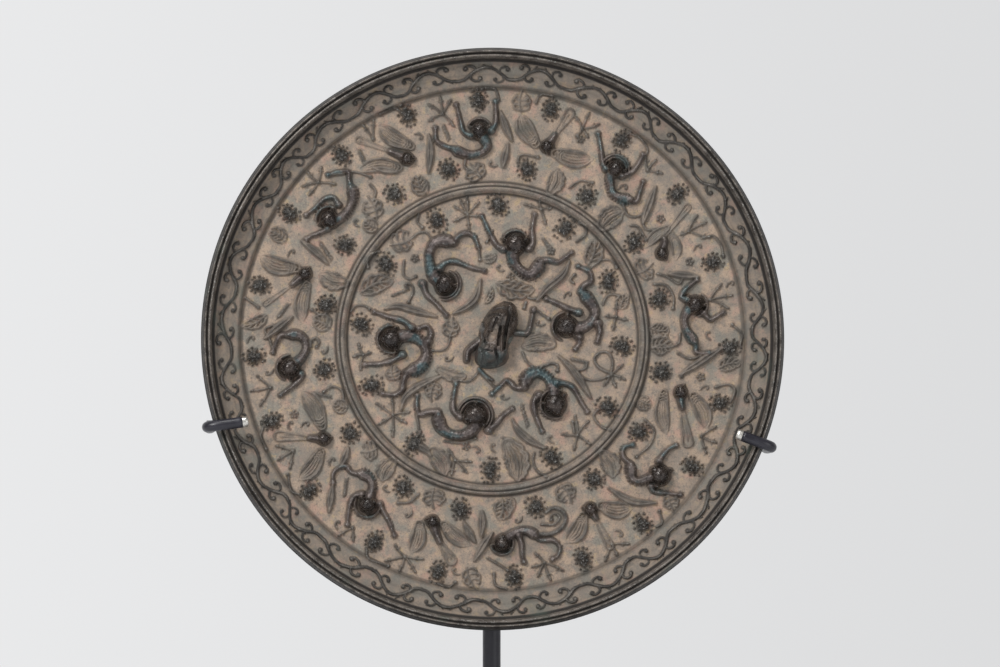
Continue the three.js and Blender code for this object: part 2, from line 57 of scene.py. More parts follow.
# ---- Relief: where the figures lie ----------------------------------------------------------
# Millimetres on the face of the mirror. In the outer field and on the border a place is an angle
# in degrees, anticlockwise from the right, and a radius. In the inner field it is right and up.
# head: place, radius and the way it faces. body: its back, from neck to rump. limbs: from the
# body to the paw. mane: arcs round the head, each a share of its radius and a start and end angle.
OUTER_BEASTS = [
    {"head": (9.6, 71.9, 3.3, 245), "body": [(8, 68.8), (5.6, 67.3), (2.6, 67.8), (0.3, 69.5),
                                             (-1.4, 70.8)],
     "mane": [(1.25, -80, 60)],
     "limbs": [[(-0.8, 70.4), (-2.2, 71.2), (-3.7, 71.2), (-4, 73.4), (-3.8, 75.4)],
               [(11.4, 69.2), (12.6, 67.6), (14.2, 69.4), (15.2, 71.8), (16, 74.2)],
               [(7, 74.4), (5.6, 75.6), (5, 77), (6.4, 81)]]},
    {"head": (54.2, 73.5, 3.2, 235), "body": [(54, 70), (52.2, 67.6), (50.2, 66.1), (47.4, 67), (45, 69)],
     "mane": [(1.5, -30, 170), (1.22, -20, 150)],
     "limbs": [[(45.6, 68.4), (43.7, 69.6), (44.8, 72.6), (46.1, 76)],
               [(56.2, 71.6), (58, 72.8), (60.4, 77), (62.6, 80.7)],
               [(51.6, 73), (50.3, 75.6), (50.1, 79), (50.7, 83.2)]]},
    {"head": (93.6, 73.1, 3.1, 270), "body": [(92.6, 70.4), (91.6, 67.6), (93.4, 65.4), (96.8, 65),
                                              (99.6, 66.2), (102, 68.2)],
     "mane": [(1.35, 20, 160)],
     "limbs": [[(101.4, 67.8), (104, 69.6), (105.8, 72.4), (105.2, 76.4)],
               [(96.2, 71.6), (98, 73.4), (98.4, 78), (98.8, 82.8)],
               [(90.4, 73), (89.2, 75.6), (89.1, 79), (89.3, 83)]]},
    {"head": (143.9, 70.8, 3.4, 320), "body": [(142.2, 68.2), (139.4, 67.6), (136.4, 68.4), (134, 70.4),
                                               (133, 73)],
     "mane": [(1.3, 60, 190)],
     "limbs": [[(133, 72.8), (132, 75.2), (130.8, 77.2), (132.6, 79.6), (134.9, 81.2)],
               [(146.4, 69.4), (148.4, 70.8), (150, 72.6), (151.6, 73.7)],
               [(139, 71.4), (138.4, 74.6), (140.4, 76.6), (143.6, 77.2), (146.2, 78.2)]]},
    {"head": (188.2, 71.6, 3.6, 30), "body": [(185.8, 67.2), (183, 65.3), (180.2, 65.8), (178.8, 68.4),
                                              (179, 71.8)],
     "mane": [(1.22, 90, 250)],
     "limbs": [[(179, 71.6), (179, 74), (180.8, 75.5), (183.3, 76.8)],
               [(190.4, 68), (191.6, 68.2), (193, 71), (194.8, 76.3)]]},
    {"head": (232.9, 72.5, 3.1, 20), "body": [(231.8, 69.2), (231, 66.8), (229.2, 65.2), (227, 65.2),
                                              (225, 66.4)],
     "mane": [(1.42, 150, 350)],
     "limbs": [[(226, 65.8), (223.4, 67.9), (221, 67.8), (219.9, 70.4), (220.2, 73), (221.8, 74.8)],
               [(235.6, 69.8), (237.4, 71.2), (240.4, 73.4), (243.2, 76.5)],
               [(229.8, 71), (228.6, 73.4), (229.6, 77.4), (231.8, 82)]]},
    {"head": (272.5, 71.4, 3.1, 80), "body": [(275, 68.8), (277.8, 67.6), (280.6, 68.4), (282.6, 70.8)],
     "mane": [(1.25, 190, 380)],
     "limbs": [[(282, 70.2), (283.6, 72.4), (286.6, 73.4), (287.7, 76.4), (286.6, 79), (285.3, 79.6)],
               [(277.4, 69.2), (277.9, 72.4), (277.6, 75.4), (277.8, 78.3)]]},
    {"head": (320.7, 75.4, 3.8, 140), "body": [(318.2, 73), (315.8, 71.4), (314.9, 69), (316.2, 66.8),
                                               (317.8, 64.8)],
     "mane": [(0.72, 180, 420)],
     "limbs": [[(317.6, 65), (317.6, 62.6), (318.2, 60.6), (320.4, 59.6), (322.6, 61.2)],
               [(317, 75.6), (316.4, 77.4), (318, 80.6), (320.1, 85)],
               [(323.6, 72), (326, 72), (328, 72.6), (329.6, 73.9)]]},
]
INNER_BEASTS = [
    {"head": (-16.9, 19.2, 3.7, 240), "mane": [(1.25, -110, 70), (1.5, -100, 50)],
     "body": [(-20.4, 21.6), (-21.8, 25), (-22.3, 29.4), (-20.6, 33.4), (-17, 34.4), (-13.4, 33.4)],
     "limbs": [[(-13.6, 33.6), (-11.8, 36), (-9.2, 37), (-6.4, 35.6), (-5.2, 32.6)],
               [(-18.6, 24.6), (-16.4, 26.6), (-13, 27), (-8, 25), (-3.2, 23.8)],
               [(-24.6, 19.4), (-23, 15.4), (-19.6, 12), (-16.4, 8.5)]]},
    {"head": (8, 33.2, 4, 270), "mane": [(1.15, 30, 170)],
     "body": [(7, 29.6), (7.6, 26.4), (10.2, 23.6), (13.2, 22.4), (15.4, 24.6), (17.2, 27)],
     "limbs": [[(16.4, 27.2), (19.4, 27.6), (22.6, 26.8), (24.8, 28), (27.4, 30)],
               [(12.8, 31.6), (14, 33.6), (13.8, 38), (14.6, 43.3)],
               [(3.8, 31.4), (1.2, 33), (-1.2, 37.6), (-3.6, 42.6)]]},
    {"head": (26, 4.2, 3.9, 200), "mane": [(1.3, 100, 250)],
     "body": [(30, 3.6), (34, 5.4), (35.8, 9.2), (34, 13), (31.2, 16.2)],
     "limbs": [[(31, 16.4), (31.8, 18.6), (34.4, 20.2), (34, 23.4), (30.2, 25.3)],
               [(30, 9.2), (27, 10.2), (23.4, 12), (19.1, 13.8)],
               [(36.8, 5.4), (37.4, 2.6), (36.6, -0.8)],
               [(30.2, 0.6), (30.2, -1.6), (29, -3.4)]]},
    {"head": (21.7, -22.8, 4.2, 290), "mane": [(1.2, 60, 300)],
     "body": [(21, -17.4), (19, -13.6), (15.4, -11.8), (12.2, -13.4), (10.6, -16.6)],
     "limbs": [[(11, -17), (8, -17.2), (5, -14.6), (2.4, -16.8), (0, -19)],
               [(22.4, -15.4), (25.6, -15.8), (28.2, -17.4), (30.4, -21.4), (32.8, -25.2)],
               [(16, -19.6), (14.2, -22), (14.6, -26), (17, -32)]]},
    {"head": (-6.2, -26.8, 4.1, 200), "mane": [(1.2, -60, 170), (1.45, -50, 160)],
     "body": [(-6.4, -31), (-9.6, -33.4), (-14, -33.6), (-17.6, -31.6), (-19, -28.4), (-18.8, -26)],
     "limbs": [[(-19.4, -25.6), (-22.6, -25.6), (-25.6, -26.4), (-26.6, -23.6), (-26.4, -20.2)],
               [(-1.4, -32), (1.2, -29.6), (3.4, -27), (6.5, -24.7)],
               [(-11.4, -27.4), (-13.8, -25), (-13.8, -21), (-12.9, -16.2)]]},
    {"head": (-35.4, -0.2, 3.9, 180), "mane": [(1.22, 80, 290)],
     "body": [(-30.4, 1), (-26.6, 0), (-23.8, -2.8), (-23.4, -6.6), (-25.8, -10), (-30, -11.6)],
     "limbs": [[(-30, -11.8), (-31.2, -14.6), (-31.8, -17.8), (-34.4, -19.6), (-38.2, -19.2)],
               [(-28.4, 3.8), (-31.4, 6.2), (-36.4, 7.6), (-41.2, 9.3)],
               [(-31.6, -5.6), (-34.6, -7.4), (-39, -8.7), (-44.4, -9)],
               [(-22.6, -1), (-21.6, 1.6), (-22.8, 4.4), (-25.6, 3.6)]]},
]
# The knob beast's limbs on the ground beside it: half width and height, then the path.
KNOB_LIMBS = [(1.25, 3.6, (-4.6, -1), (-7.2, -3), (-8.8, -4.6), (-9.2, -7.6)),
              (0.8, 2.6, (6, 2.2), (9.4, 1.9), (12, 2), (13.2, 5), (13.9, 8.4)),
              (0.6, 1.6, (-4.8, -10.6), (-2.4, -13), (0, -14.6))]
# Birds: head with its radius; wings and tail as a line from root to tip and a half width.
BIRDS = [
    {"head": (26.9, 66.4, 2.5), "tail": ((30.6, 69.4), (34, 82.4), 1.1),
     "wings": [((30.4, 72.6), (23.2, 69.8), 1.7), ((32.4, 72.4), (31, 62.6), 1.8)]},
    {"head": (74.2, 70.2, 2.6), "tail": ((73, 75), (71.1, 83.6), 1.6),
     "wings": [((77.6, 70.2), (82.9, 79.6), 3.1), ((71.2, 68.8), (60.9, 72), 3.1)]},
    {"head": (115.4, 69.9, 2.7), "tail": ((118.8, 75), (123.9, 84), 1),
     "wings": [((113, 73.4), (118, 85), 2.7), ((118.6, 68.4), (128.6, 75.4), 2.4)]},
    {"head": (161, 69.4, 2.7), "tail": ((165, 72.6), (171.2, 80.4), 0.9),
     "wings": [((160.2, 73), (160.3, 86.4), 3), ((163.8, 67.6), (175.2, 66.8), 2.5)]},
    {"head": (210.6, 68.6, 2.7), "tail": ((208.4, 72.8), (204.5, 82), 1.6),
     "wings": [((213.4, 72), (216, 83.8), 2.7), ((207, 67), (195.2, 69), 3)]},
    {"head": (251.8, 67.2, 2.6), "tail": ((255.4, 73.4), (259.4, 78.6), 1.6),
     "wings": [((248.4, 69.6), (249, 80), 2.6), ((255.2, 67), (263.8, 72.6), 2.4)]},
    {"head": (299.7, 68.7, 2.8), "tail": ((299.7, 72.4), (299.4, 83), 1.2),
     "wings": [((296.8, 69.6), (289.8, 75.6), 3), ((303, 69.6), (309.4, 76.6), 3)]},
    {"head": (344, 68.3, 2.7), "tail": ((339.6, 70.6), (332, 77.2), 1.7),
     "wings": [((344, 73), (337, 81.2), 2.7), ((342.4, 62.8), (331.2, 69.4), 2.4)]},
]
# Bunches of grapes: place and, in the inner field, the way the long axis lies.
OUTER_GRAPES = [(-2.2, 83), (19.2, 81.8), (38.1, 82.3), (57, 83.3), (75.8, 83), (93.4, 84),
                (110.9, 84), (129.4, 83.4), (148.4, 83.4), (167, 83.5), (184.3, 83.4), (200.4, 82.4),
                (219.6, 82.8), (239.7, 82), (256.7, 83.6), (275, 83.4), (292.2, 83), (308.9, 83.2),
                (327.3, 82.6), (344.2, 82.6)]
INNER_GRAPES = [(13.4, 60), (34.2, 60), (56.6, 60), (78.6, 60.6), (104.6, 61.4), (124, 61.2),
                (147.6, 61.2), (168.6, 59.6), (190.4, 59.8), (213.6, 59.8), (238.8, 60.6),
                (259.4, 60.6), (284.2, 60.6), (305.6, 60.4), (327.5, 60.6), (348.8, 60)]
CORE_GRAPES = [(-19.6, 41.4, -62), (1.9, 46.9, -55), (25.3, 38.6, 52), (-37.3, 26.2, -62),
               (40.5, 20.2, 80), (-45.9, 5, -42), (45.1, -2.6, -20), (-42.4, -16.4, 20),
               (40, -24, -35), (-27.4, -36.6, 62), (-1, -46, 80), (20.4, -41.5, 130)]
# Palmettes: the hub, then the tip of each ray.
OUTER_PALMETTES = [
    [(10.2, 77.2), (13.6, 82.6), (10.3, 85.6), (7.2, 83.6)],
    [(28.8, 78.4), (31.2, 84), (28.6, 85.6), (24.8, 84.4), (29, 75.6)],
    [(47.4, 80.4), (47.6, 85.2), (44.2, 83.2), (50, 83.6)],
    [(66.9, 80.2), (66.8, 86.6), (63.4, 84.4), (69.4, 83.2), (67.6, 76.8), (64.6, 78.2)],
    [(102.5, 80.8), (105.4, 85.4), (102.2, 87.2), (99.8, 85.2), (100.2, 75.6), (106.4, 79.6)],
    [(120.8, 81.6), (121.2, 87.8), (118.4, 87.6)],
    [(138.1, 81.8), (138, 87.4), (141.4, 85.4), (134.8, 85), (142, 81.6), (135.4, 77)],
    [(192.4, 79.4), (196.2, 84.6), (192.2, 86.6), (188.8, 83.4)],
    [(209.3, 79.8), (209.5, 86.4), (212.8, 84.2), (206.2, 84.4)],
    [(233.4, 82), (231.8, 87.4), (235.4, 85.8)],
    [(248, 82), (251.8, 86), (248, 87.6), (244, 86.2), (244.4, 79.4), (252.6, 80.6)],
    [(282.9, 80.2), (287, 84.8), (283.4, 86.8), (280.6, 84.6), (281, 76.2), (279.6, 80.8)],
    [(300, 82.8), (303.6, 86), (299.8, 87.4), (296.6, 87)],
    [(334.9, 80.4), (335, 86.2), (338.6, 84), (331.6, 84.8)],
]
CORE_PALMETTES = [
    [(-8.8, 43.4), (-13.6, 46.4), (-11.4, 48.8), (-9, 50), (-4.6, 48), (-3.8, 43.2), (-8.2, 38.4),
     (-13.4, 41.2)],
    [(-34.9, -26.6), (-40, -30), (-35, -34.6), (-30, -29.6), (-35.2, -20.8), (-41, -22.4), (-29, -25.6)],
    [(29.5, -33.8), (24, -33.4), (28.6, -26.4), (33.6, -28.6), (34.2, -37), (28.2, -39)],
    [(41.5, -12.5), (38.8, -16.4), (45.6, -9), (46.4, -14.4), (43, -17)],
    [(-13.2, -42.4), (-7.4, -43), (-9, -47), (-14.4, -47.6), (-15.6, -38.6)],
    [(43.2, 7.6), (43.4, 12.6), (39.6, 8), (47, 6.6), (42, 3)],
    [(-45.2, -5.6), (-42.8, -4.8), (-48.6, -6.2), (-46.2, -11), (-47, -1.6)],
    [(17, 45.4), (11, 47.2), (20.6, 45.8), (18.6, 40), (16.4, 49)],
]
# Leaves: place, length, width, turn and kind. In the outer field a turn of 90 points at the rim.
OUTER_LEAVES = [
    (83, 84, 7, 5.6, 95, "lobed"), (154.6, 83.6, 6.6, 5, 80, "veined"), (175.6, 83.6, 9, 4, 118, "veined"),
    (265, 84, 8, 5, 120, "lobed"), (317.4, 84.6, 6, 4.6, 60, "lobed"),
    (353.4, 83.6, 7.4, 5, 110, "toothed"),
    (3.4, 58.6, 6.4, 5.4, 80, "toothed"), (24.8, 58.8, 6, 7, 100, "lobed"),
    (45, 59.4, 7, 7.6, 80, "ribbed"),
    (68.8, 59.6, 6.6, 6, 95, "ribbed"), (96, 59, 6.4, 6.4, 120, "lobed"), (114.6, 59.6, 7, 6, 90, "veined"),
    (132.4, 62.4, 8, 6, 70, "lobed"), (136.6, 58.6, 5, 5, 100, "veined"),
    (159.4, 59.8, 7.4, 6.2, 90, "ribbed"),
    (175.2, 60.2, 6, 6.4, 70, "veined"), (203.4, 57.8, 5, 5, 40, "veined"),
    (222, 58.2, 5.4, 6, 60, "lobed"),
    (231.4, 59.2, 6, 6, 100, "ribbed"), (249.8, 59.6, 6.4, 6.6, 110, "lobed"),
    (272.6, 59.6, 7, 6.6, 80, "veined"),
    (276.6, 58.2, 4.6, 3.6, 90, "toothed"), (295.2, 60, 7, 6, 95, "lobed"),
    (312.4, 60, 7, 6.6, 70, "ribbed"),
    (337.4, 57.6, 4.6, 5.4, 90, "toothed"), (357, 59.2, 7, 7.4, 95, "toothed"),
]
CORE_LEAVES = [
    (-31.4, 34.4, 8.6, 6.6, 20, "lobed"), (-40.4, 18, 11, 6.6, 20, "veined"),
    (34.6, 30.4, 8.6, 6.4, 75, "veined"),
    (-20.8, -18.6, 6.4, 4.8, 260, "lobed"), (7.2, -43, 11, 8.4, 285, "ribbed"),
    (-18.8, -43.4, 7.6, 6.4, 300, "ribbed"),
    (-14.2, -12, 8.4, 4, 345, "ribbed"), (-14.6, 4, 6.6, 4.8, 80, "lobed"),
    (15.6, -2.2, 8.4, 6.4, 185, "ribbed"),
    (8, 18.4, 12.4, 6.6, 350, "toothed"), (-34.8, -12, 5, 4.4, 100, "lobed"),
    (46, 12.8, 5.4, 4.6, 60, "toothed"),
    (-1, 28.6, 4.6, 3.4, 20, "toothed"), (-1.6, 15.4, 6, 2.4, 70, "veined"),
]
# Spear-shaped shoots, each widest at its middle.
OUTER_SPEARS = [
    [(16.8, 75.4), (18.4, 70.6), (20.4, 65.4)], [(107.3, 75), (108.2, 69.6), (111.2, 62)],
    [(152.9, 75.2), (153.8, 69), (155.6, 63.2)], [(226.6, 83.2), (224.6, 79.4), (222.4, 75.6)],
    [(219.9, 69), (218.6, 65.8), (216.8, 63)], [(265.2, 77.8), (267.4, 72), (270, 67.4)],
    [(265, 71.4), (263, 68.2), (261, 65)], [(314.8, 81), (310.4, 74.6), (307.6, 65.6)],
    [(88, 80), (86.4, 74.4), (84.3, 69.6)], [(85.4, 68.6), (86, 64.8), (86.6, 60)],
    [(266.6, 69.2), (266.7, 65), (266.4, 60)], [(180, 79.6), (176.4, 74.2), (173.6, 70.2)],
    [(358.2, 81.2), (354.4, 74.4), (348.8, 66.4)], [(43, 78.4), (40.4, 72), (37.4, 66.2)],
    [(125, 73), (122.4, 70), (119.4, 67)],
]
CORE_SPEARS = [
    [(-37.8, 10.4), (-33, 11.4), (-27, 9.8), (-19.6, 7.6)],
    [(-4.2, 20.8), (-5.8, 14.6), (-9.4, 11), (-14.2, 8.6)],
    [(27, 27.2), (24.6, 22.4), (19, 17.6), (15.4, 13)], [(23, -6), (28, -11), (31, -15.4), (34.4, -21)],
    [(6.6, -28), (8.8, -32), (12.8, -35.6), (18.2, -38.4)],
    [(-32.2, -25), (-30.6, -20.4), (-26, -16.6), (-18.4, -13.2)],
    [(-28.6, -36.4), (-24, -38.6), (-21.4, -41)],
]
# Rows of short strokes, like fern fronds, and the dots of small rosettes.
OUTER_FERNS = [[(103, 77.4), (102.4, 72)], [(125.2, 81.4), (125.9, 76.8)], [(150.6, 69.8), (153.8, 62.8)],
               [(174.8, 75.8), (170.2, 72.4)], [(196.6, 65.8), (199.8, 60)], [(226.8, 75.8), (224, 71)]]
CORE_FERNS = [[(-35.8, 14.8), (-29.6, 17.4)], [(9.8, -22.4), (12.2, -30.6)], [(26.8, -6.8), (33, -8.4)],
              [(2.8, -34.4), (9.8, -37.2)], [(9.6, -38.6), (12.4, -44), (10.6, -49)],
              [(17.4, 35.4), (20.6, 31)]]
OUTER_ROSETTES = [(66.2, 76.6), (200.8, 74.2), (349.6, 74), (35.6, 72.4), (21.4, 74.2)]
CORE_ROSETTES = [(6.2, 21.6), (-27.2, 28.2), (-9.4, -37.6), (20.4, 30.8)]
# Tendrils and tails: thin stalks, each a path and a half width.
OUTER_TENDRILS = [
    [0.4, (25.6, 81.6), (25, 85.2), (22.4, 86.6), (19.8, 86)],
    [0.4, (50.2, 82), (50.6, 85.8), (53.8, 87.4), (56.6, 86.4)],
    [0.4, (79.6, 84), (78.8, 87.4), (76.2, 87.8)], [0.4, (88.4, 83.6), (89.4, 87.6), (92.4, 88)],
    [0.4, (111.8, 85.4), (113.2, 88), (116.6, 88.2)], [0.4, (201.4, 86.2), (203, 87.8), (206, 88)],
    [0.4, (218.8, 86.6), (217, 88), (213.6, 85.8)], [0.4, (238.8, 85.4), (240.6, 88), (245.2, 87.2)],
    [0.4, (257.4, 87.4), (259.6, 88.2), (261.2, 86)],
    [0.45, (345, 86.2), (348, 86.6), (349, 84), (347.8, 80)],
    [0.4, (-1.6, 86.6), (1, 87.2), (3.4, 84)], [0.4, (273, 87.4), (270.6, 86), (270.2, 82)],
    [0.4, (311, 87), (312.6, 87.2), (314, 83.6)], [0.4, (170.6, 87.6), (171.6, 84.6), (172.4, 82.6)],
    [0.45, (18.8, 59.6), (17, 63.6), (13, 65), (9.6, 64)], [0.4, (63, 59.6), (61, 63.4), (57.4, 65)],
    [0.45, (244.4, 60), (243, 64), (240, 66.2)], [0.4, (332, 60), (330.4, 64.8), (326, 66.2), (320.6, 65)],
    [0.4, (39.4, 62.6), (37.4, 64.4), (32.8, 64)], [0.4, (82, 62.6), (81, 65.4), (76, 65.6)],
    [0.45, (50, 65.4), (47.4, 65.6), (45, 65.2), (42.4, 64.2), (40.4, 66), (39.8, 68.8)],
    [0.4, (39.6, 68), (37.6, 66.4), (35.4, 66.2), (33.8, 68.6)],
    [0.45, (98.6, 63.6), (99.2, 61), (97, 59), (94.4, 57)],
    [0.9, (283.6, 70.2), (286.4, 71), (289.6, 70.4), (292, 67.8), (291.8, 64.6), (289.6, 62.8),
     (287, 63.4)],
    [0.45, (284.6, 67), (288, 68.2), (290.4, 66.8), (289.8, 65), (288.2, 65), (287.8, 66.4)],
    [0.5, (182.6, 63.6), (180.4, 63.4), (179.8, 61.8), (181.2, 60.6), (182.6, 61.6)],
    [0.4, (167, 56.6), (172, 60), (171, 64)], [0.45, (-4.4, 65), (-5.8, 69), (-4.8, 73)],
    [0.4, (1.6, 65.6), (-1.6, 65), (-3, 61), (-3.2, 56.2)],
    [0.4, (21.6, 62), (19.4, 65), (16.4, 68), (18, 70.4)],
    [0.4, (353.4, 72.4), (351.8, 69.2), (348.6, 67.4)], [0.4, (268.6, 76.6), (271.6, 79), (273.6, 81)],
    [0.4, (134.6, 80.4), (132.2, 78), (129.4, 75.6), (127, 71)],
    [0.4, (128.4, 69), (128.4, 66), (130.6, 64)],
    [0.4, (183.4, 76.8), (180, 78), (177.6, 79.6), (176, 75)],
    [0.4, (202.6, 56.4), (199, 55.8), (196.6, 58.6), (197.4, 62)],
]
CORE_TENDRILS = [
    [0.4, (-28.4, 35.2), (-26, 37), (-23.2, 37.2), (-21.4, 34.8)],
    [0.4, (-25.8, 43.6), (-26.4, 41), (-24.6, 39)],
    [0.4, (-31, 27.4), (-31.2, 22.6), (-29, 20.8), (-27, 21.8)],
    [0.4, (-29.6, 17.4), (-30.6, 19), (-28.6, 19), (-27.8, 16.4), (-29.4, 13)],
    [0.4, (-4.8, 32), (-4.4, 27.6)], [0.4, (28.4, 19.4), (27.2, 20.6), (28.6, 22.4)],
    [0.45, (29.4, 34), (32.6, 36.6), (32.4, 39.4), (30.4, 40.6)],
    [0.5, (41.2, -12.2), (37, -10), (35.6, -7), (37.4, -4.8), (40.4, -5), (41.9, -8), (41.4, -12)],
    [0.4, (33, -8.4), (32.4, -10.4), (29.8, -11.4), (32.6, -14.2), (37, -14.4), (40.4, -13.2)],
    [0.4, (-14.8, 1.8), (-15.4, -2), (-17.4, -4), (-21, -4.2)],
    [0.45, (-18.6, -13.4), (-24, -15.6), (-29, -18.8)],
    [0.4, (-4.6, -11), (-7, -14), (-9.6, -15), (-14.4, -14)], [0.4, (-4.4, -12), (-1.4, -15), (1, -17.2)],
    [0.4, (10.4, -4.8), (11.6, -7.6), (13.6, -9.8)], [0.4, (15.4, 10), (17.4, 8.4), (19.6, 7)],
    [0.5, (12.4, 14.4), (13.8, 13.9), (15, 14)],
    [0.6, (11.6, 12.8), (11, 10.8)], [0.45, (17.6, -9.6), (20.6, -8.6), (22.8, -9.4), (22.6, -11.2)],
    [0.4, (14.4, -40), (14, -43), (15.6, -46.4), (18.4, -48)],
    [0.4, (37, -24.6), (35.2, -27), (37.6, -30.6), (40.6, -31.8)],
    [0.4, (28.4, -33), (27.8, -29)], [0.4, (-26.8, -26), (-26, -30), (-25.6, -33.4)],
    [0.4, (-40, 30.6), (-43.4, 28.6), (-43.6, 25)],
    [0.4, (-49.6, 9.4), (-48, 11.4), (-45, 11.6), (-43, 10.4)],
    [0.4, (38.6, 12), (39.6, 14.4), (41.6, 15.6), (44, 15)],
    [0.4, (34.6, 25), (38, 27.4), (41.6, 27.4), (43.4, 25)], [0.4, (0, 38), (-2, 34)],
    [0.4, (-17, -35.8), (-11, -36.4), (-6, -34.8)],
]


# ---- Relief: the figures as heights over the ground -------------------------------------------
HALF = 90.0  # the grid of heights covers this far each way from the centre
CELL = 0.125
LAYERS = ("head", "body", "fruit", "leaf", "stem")


def at(point, polar):
    """Right and up of a place in one of the tables."""
    if not polar:
        return np.array(point[:2], float)
    angle = math.radians(point[0])
    return point[1] * np.array([math.cos(angle), math.sin(angle)])


def way(degrees):
    """The unit arrow that points this way."""
    return np.array([math.cos(math.radians(degrees)), math.sin(math.radians(degrees))])


def curve(points, step=0.45):
    """A smooth path through the points, by Catmull and Rom's formula."""
    p = np.array(points, float)
    p = np.vstack([2 * p[0] - p[1], p, 2 * p[-1] - p[-2]])
    out = []
    for a, b, c, d in zip(p, p[1:], p[2:], p[3:]):
        t = np.linspace(0, 1, max(2, int(np.linalg.norm(c - b) / step)), endpoint=False)[:, None]
        out.append(0.5 * (2 * b + (c - a) * t + (2 * a - 5 * b + 4 * c - d) * t**2
                          + (3 * b - a - 3 * c + d) * t**3))
    out.append(p[-2][None])
    return np.vstack(out)


def noise_row(count, seed):
    """Repeatable numbers from -1 to 1 for small differences between like figures."""
    return np.random.default_rng(seed).uniform(-1, 1, count)


def blur(field, reach):
    """The field smoothed three times over a square window of about that many millimetres."""
    size = max(1, int(round(reach / CELL / 2)))
    for _ in range(3):
        for axis in (0, 1):
            pad = [(size + 1, size) if k == axis else (0, 0) for k in (0, 1)]
            total = np.cumsum(np.pad(field, pad, mode="edge"), axis=axis, dtype=np.float64)
            width = 2 * size + 1
            high = np.take(total, range(width, total.shape[axis]), axis=axis)
            low = np.take(total, range(0, total.shape[axis] - width), axis=axis)
            field = ((high - low) / width).astype(np.float32)
    return field


class Relief:
    """Heights over the ground on a square grid, raised figure by figure in five layers."""

    def __init__(self):
        count = int(2 * HALF / CELL) + 1
        self.axis = np.linspace(-HALF, HALF, count).astype(np.float32)
        self.layer = {name: np.zeros((count, count), np.float32) for name in LAYERS}

    def window(self, low, high):
        """The part of the grid between two corners: its slices, and its points' right and up."""
        last = len(self.axis)
        i0, j0 = np.clip(((np.array(low) + HALF) / CELL).astype(int), 0, last - 2)
        i1, j1 = np.clip(((np.array(high) + HALF) / CELL).astype(int) + 2, 1, last)
        x, y = np.meshgrid(self.axis[i0:i1], self.axis[j0:j1])
        return (slice(j0, j1), slice(i0, i1)), x, y

    def ribbon(self, name, path, half, form, add=False):
        """A raised shape along a path. half(s) is half its width at share s of the path, and
        form(s, q) its height there, at q from -1 to 1 across it."""
        path = curve(path)
        shares = np.linspace(0, 1, 40)
        reach = float(np.max(half(shares) + 0 * shares)) + 0.2
        where, x, y = self.window(path.min(0) - reach, path.max(0) + reach)
        best = np.full(x.shape, 1e9, np.float32)
        share = np.zeros(x.shape, np.float32)
        side = np.zeros(x.shape, np.float32)
        steps = np.diff(path, axis=0)
        lengths = np.maximum(np.hypot(*steps.T), 1e-6)
        run = np.concatenate([[0], np.cumsum(lengths)])
        for a, d, length, start in zip(path, steps, lengths, run):
            right, up = x - a[0], y - a[1]
            t = np.clip((right * d[0] + up * d[1]) / length**2, 0, 1)
            ex, ey = right - t * d[0], up - t * d[1]
            distance = ex * ex + ey * ey
            near = distance < best
            best = np.where(near, distance, best)
            share = np.where(near, (start + t * length) / run[-1], share)
            side = np.where(near, np.sign(d[0] * ey - d[1] * ex), side)
        across = np.sqrt(best) / np.maximum(half(share), 1e-3)
        height = np.where(across < 1, form(share, np.clip(across, 0, 1) * side), 0)
        self.put(name, where, height, add)

    def dome(self, name, centre, a, b, turn, height, add=False, power=0.5):
        """A boss over an ellipse with half axes a and b: height (1 - d^2)^power."""
        reach = max(a, b) + 0.2
        where, x, y = self.window(np.array(centre) - reach, np.array(centre) + reach)
        ux, uy = way(turn)
        right, up = x - centre[0], y - centre[1]
        d = ((right * ux + up * uy) / a) ** 2 + ((up * ux - right * uy) / b) ** 2
        self.put(name, where, height * np.clip(1 - d, 0, 1) ** power, add)

    def put(self, name, where, height, add):
        layer = self.layer[name]
        layer[where] = layer[where] + height if add else np.maximum(layer[where], height)

    def stroke(self, name, path, half, height, add=False):
        """A round ridge with pointed ends."""
        def width(s):
            return half * (0.35 + 0.65 * np.clip(4 * s * (1 - s), 0, 1) ** 0.5)
        self.ribbon(name, path, width, lambda s, q: height * (1 - q * q) ** 0.5, add)

    def comb(self, name, path, count, length, lean, half, height, add=False):
        """A row of short strokes off a path, leaning by some degrees from square to it."""
        line = curve(path)
        for k in range(count):
            i = min(len(line) - 2, int((k + 0.5) / count * (len(line) - 1)))
            along = line[i + 1] - line[i]
            tip = line[i] + length * way(math.degrees(math.atan2(along[1], along[0])) + 90 - lean)
            self.stroke(name, [line[i], tip], half, height, add)

    def beads(self, name, path, count, radius, height, add=True):
        """A row of small bosses along a path."""
        line = curve(path)
        for k in range(count):
            i = int((k + 0.5) / count * (len(line) - 1))
            self.dome(name, line[i], radius, radius, 0, height, add)


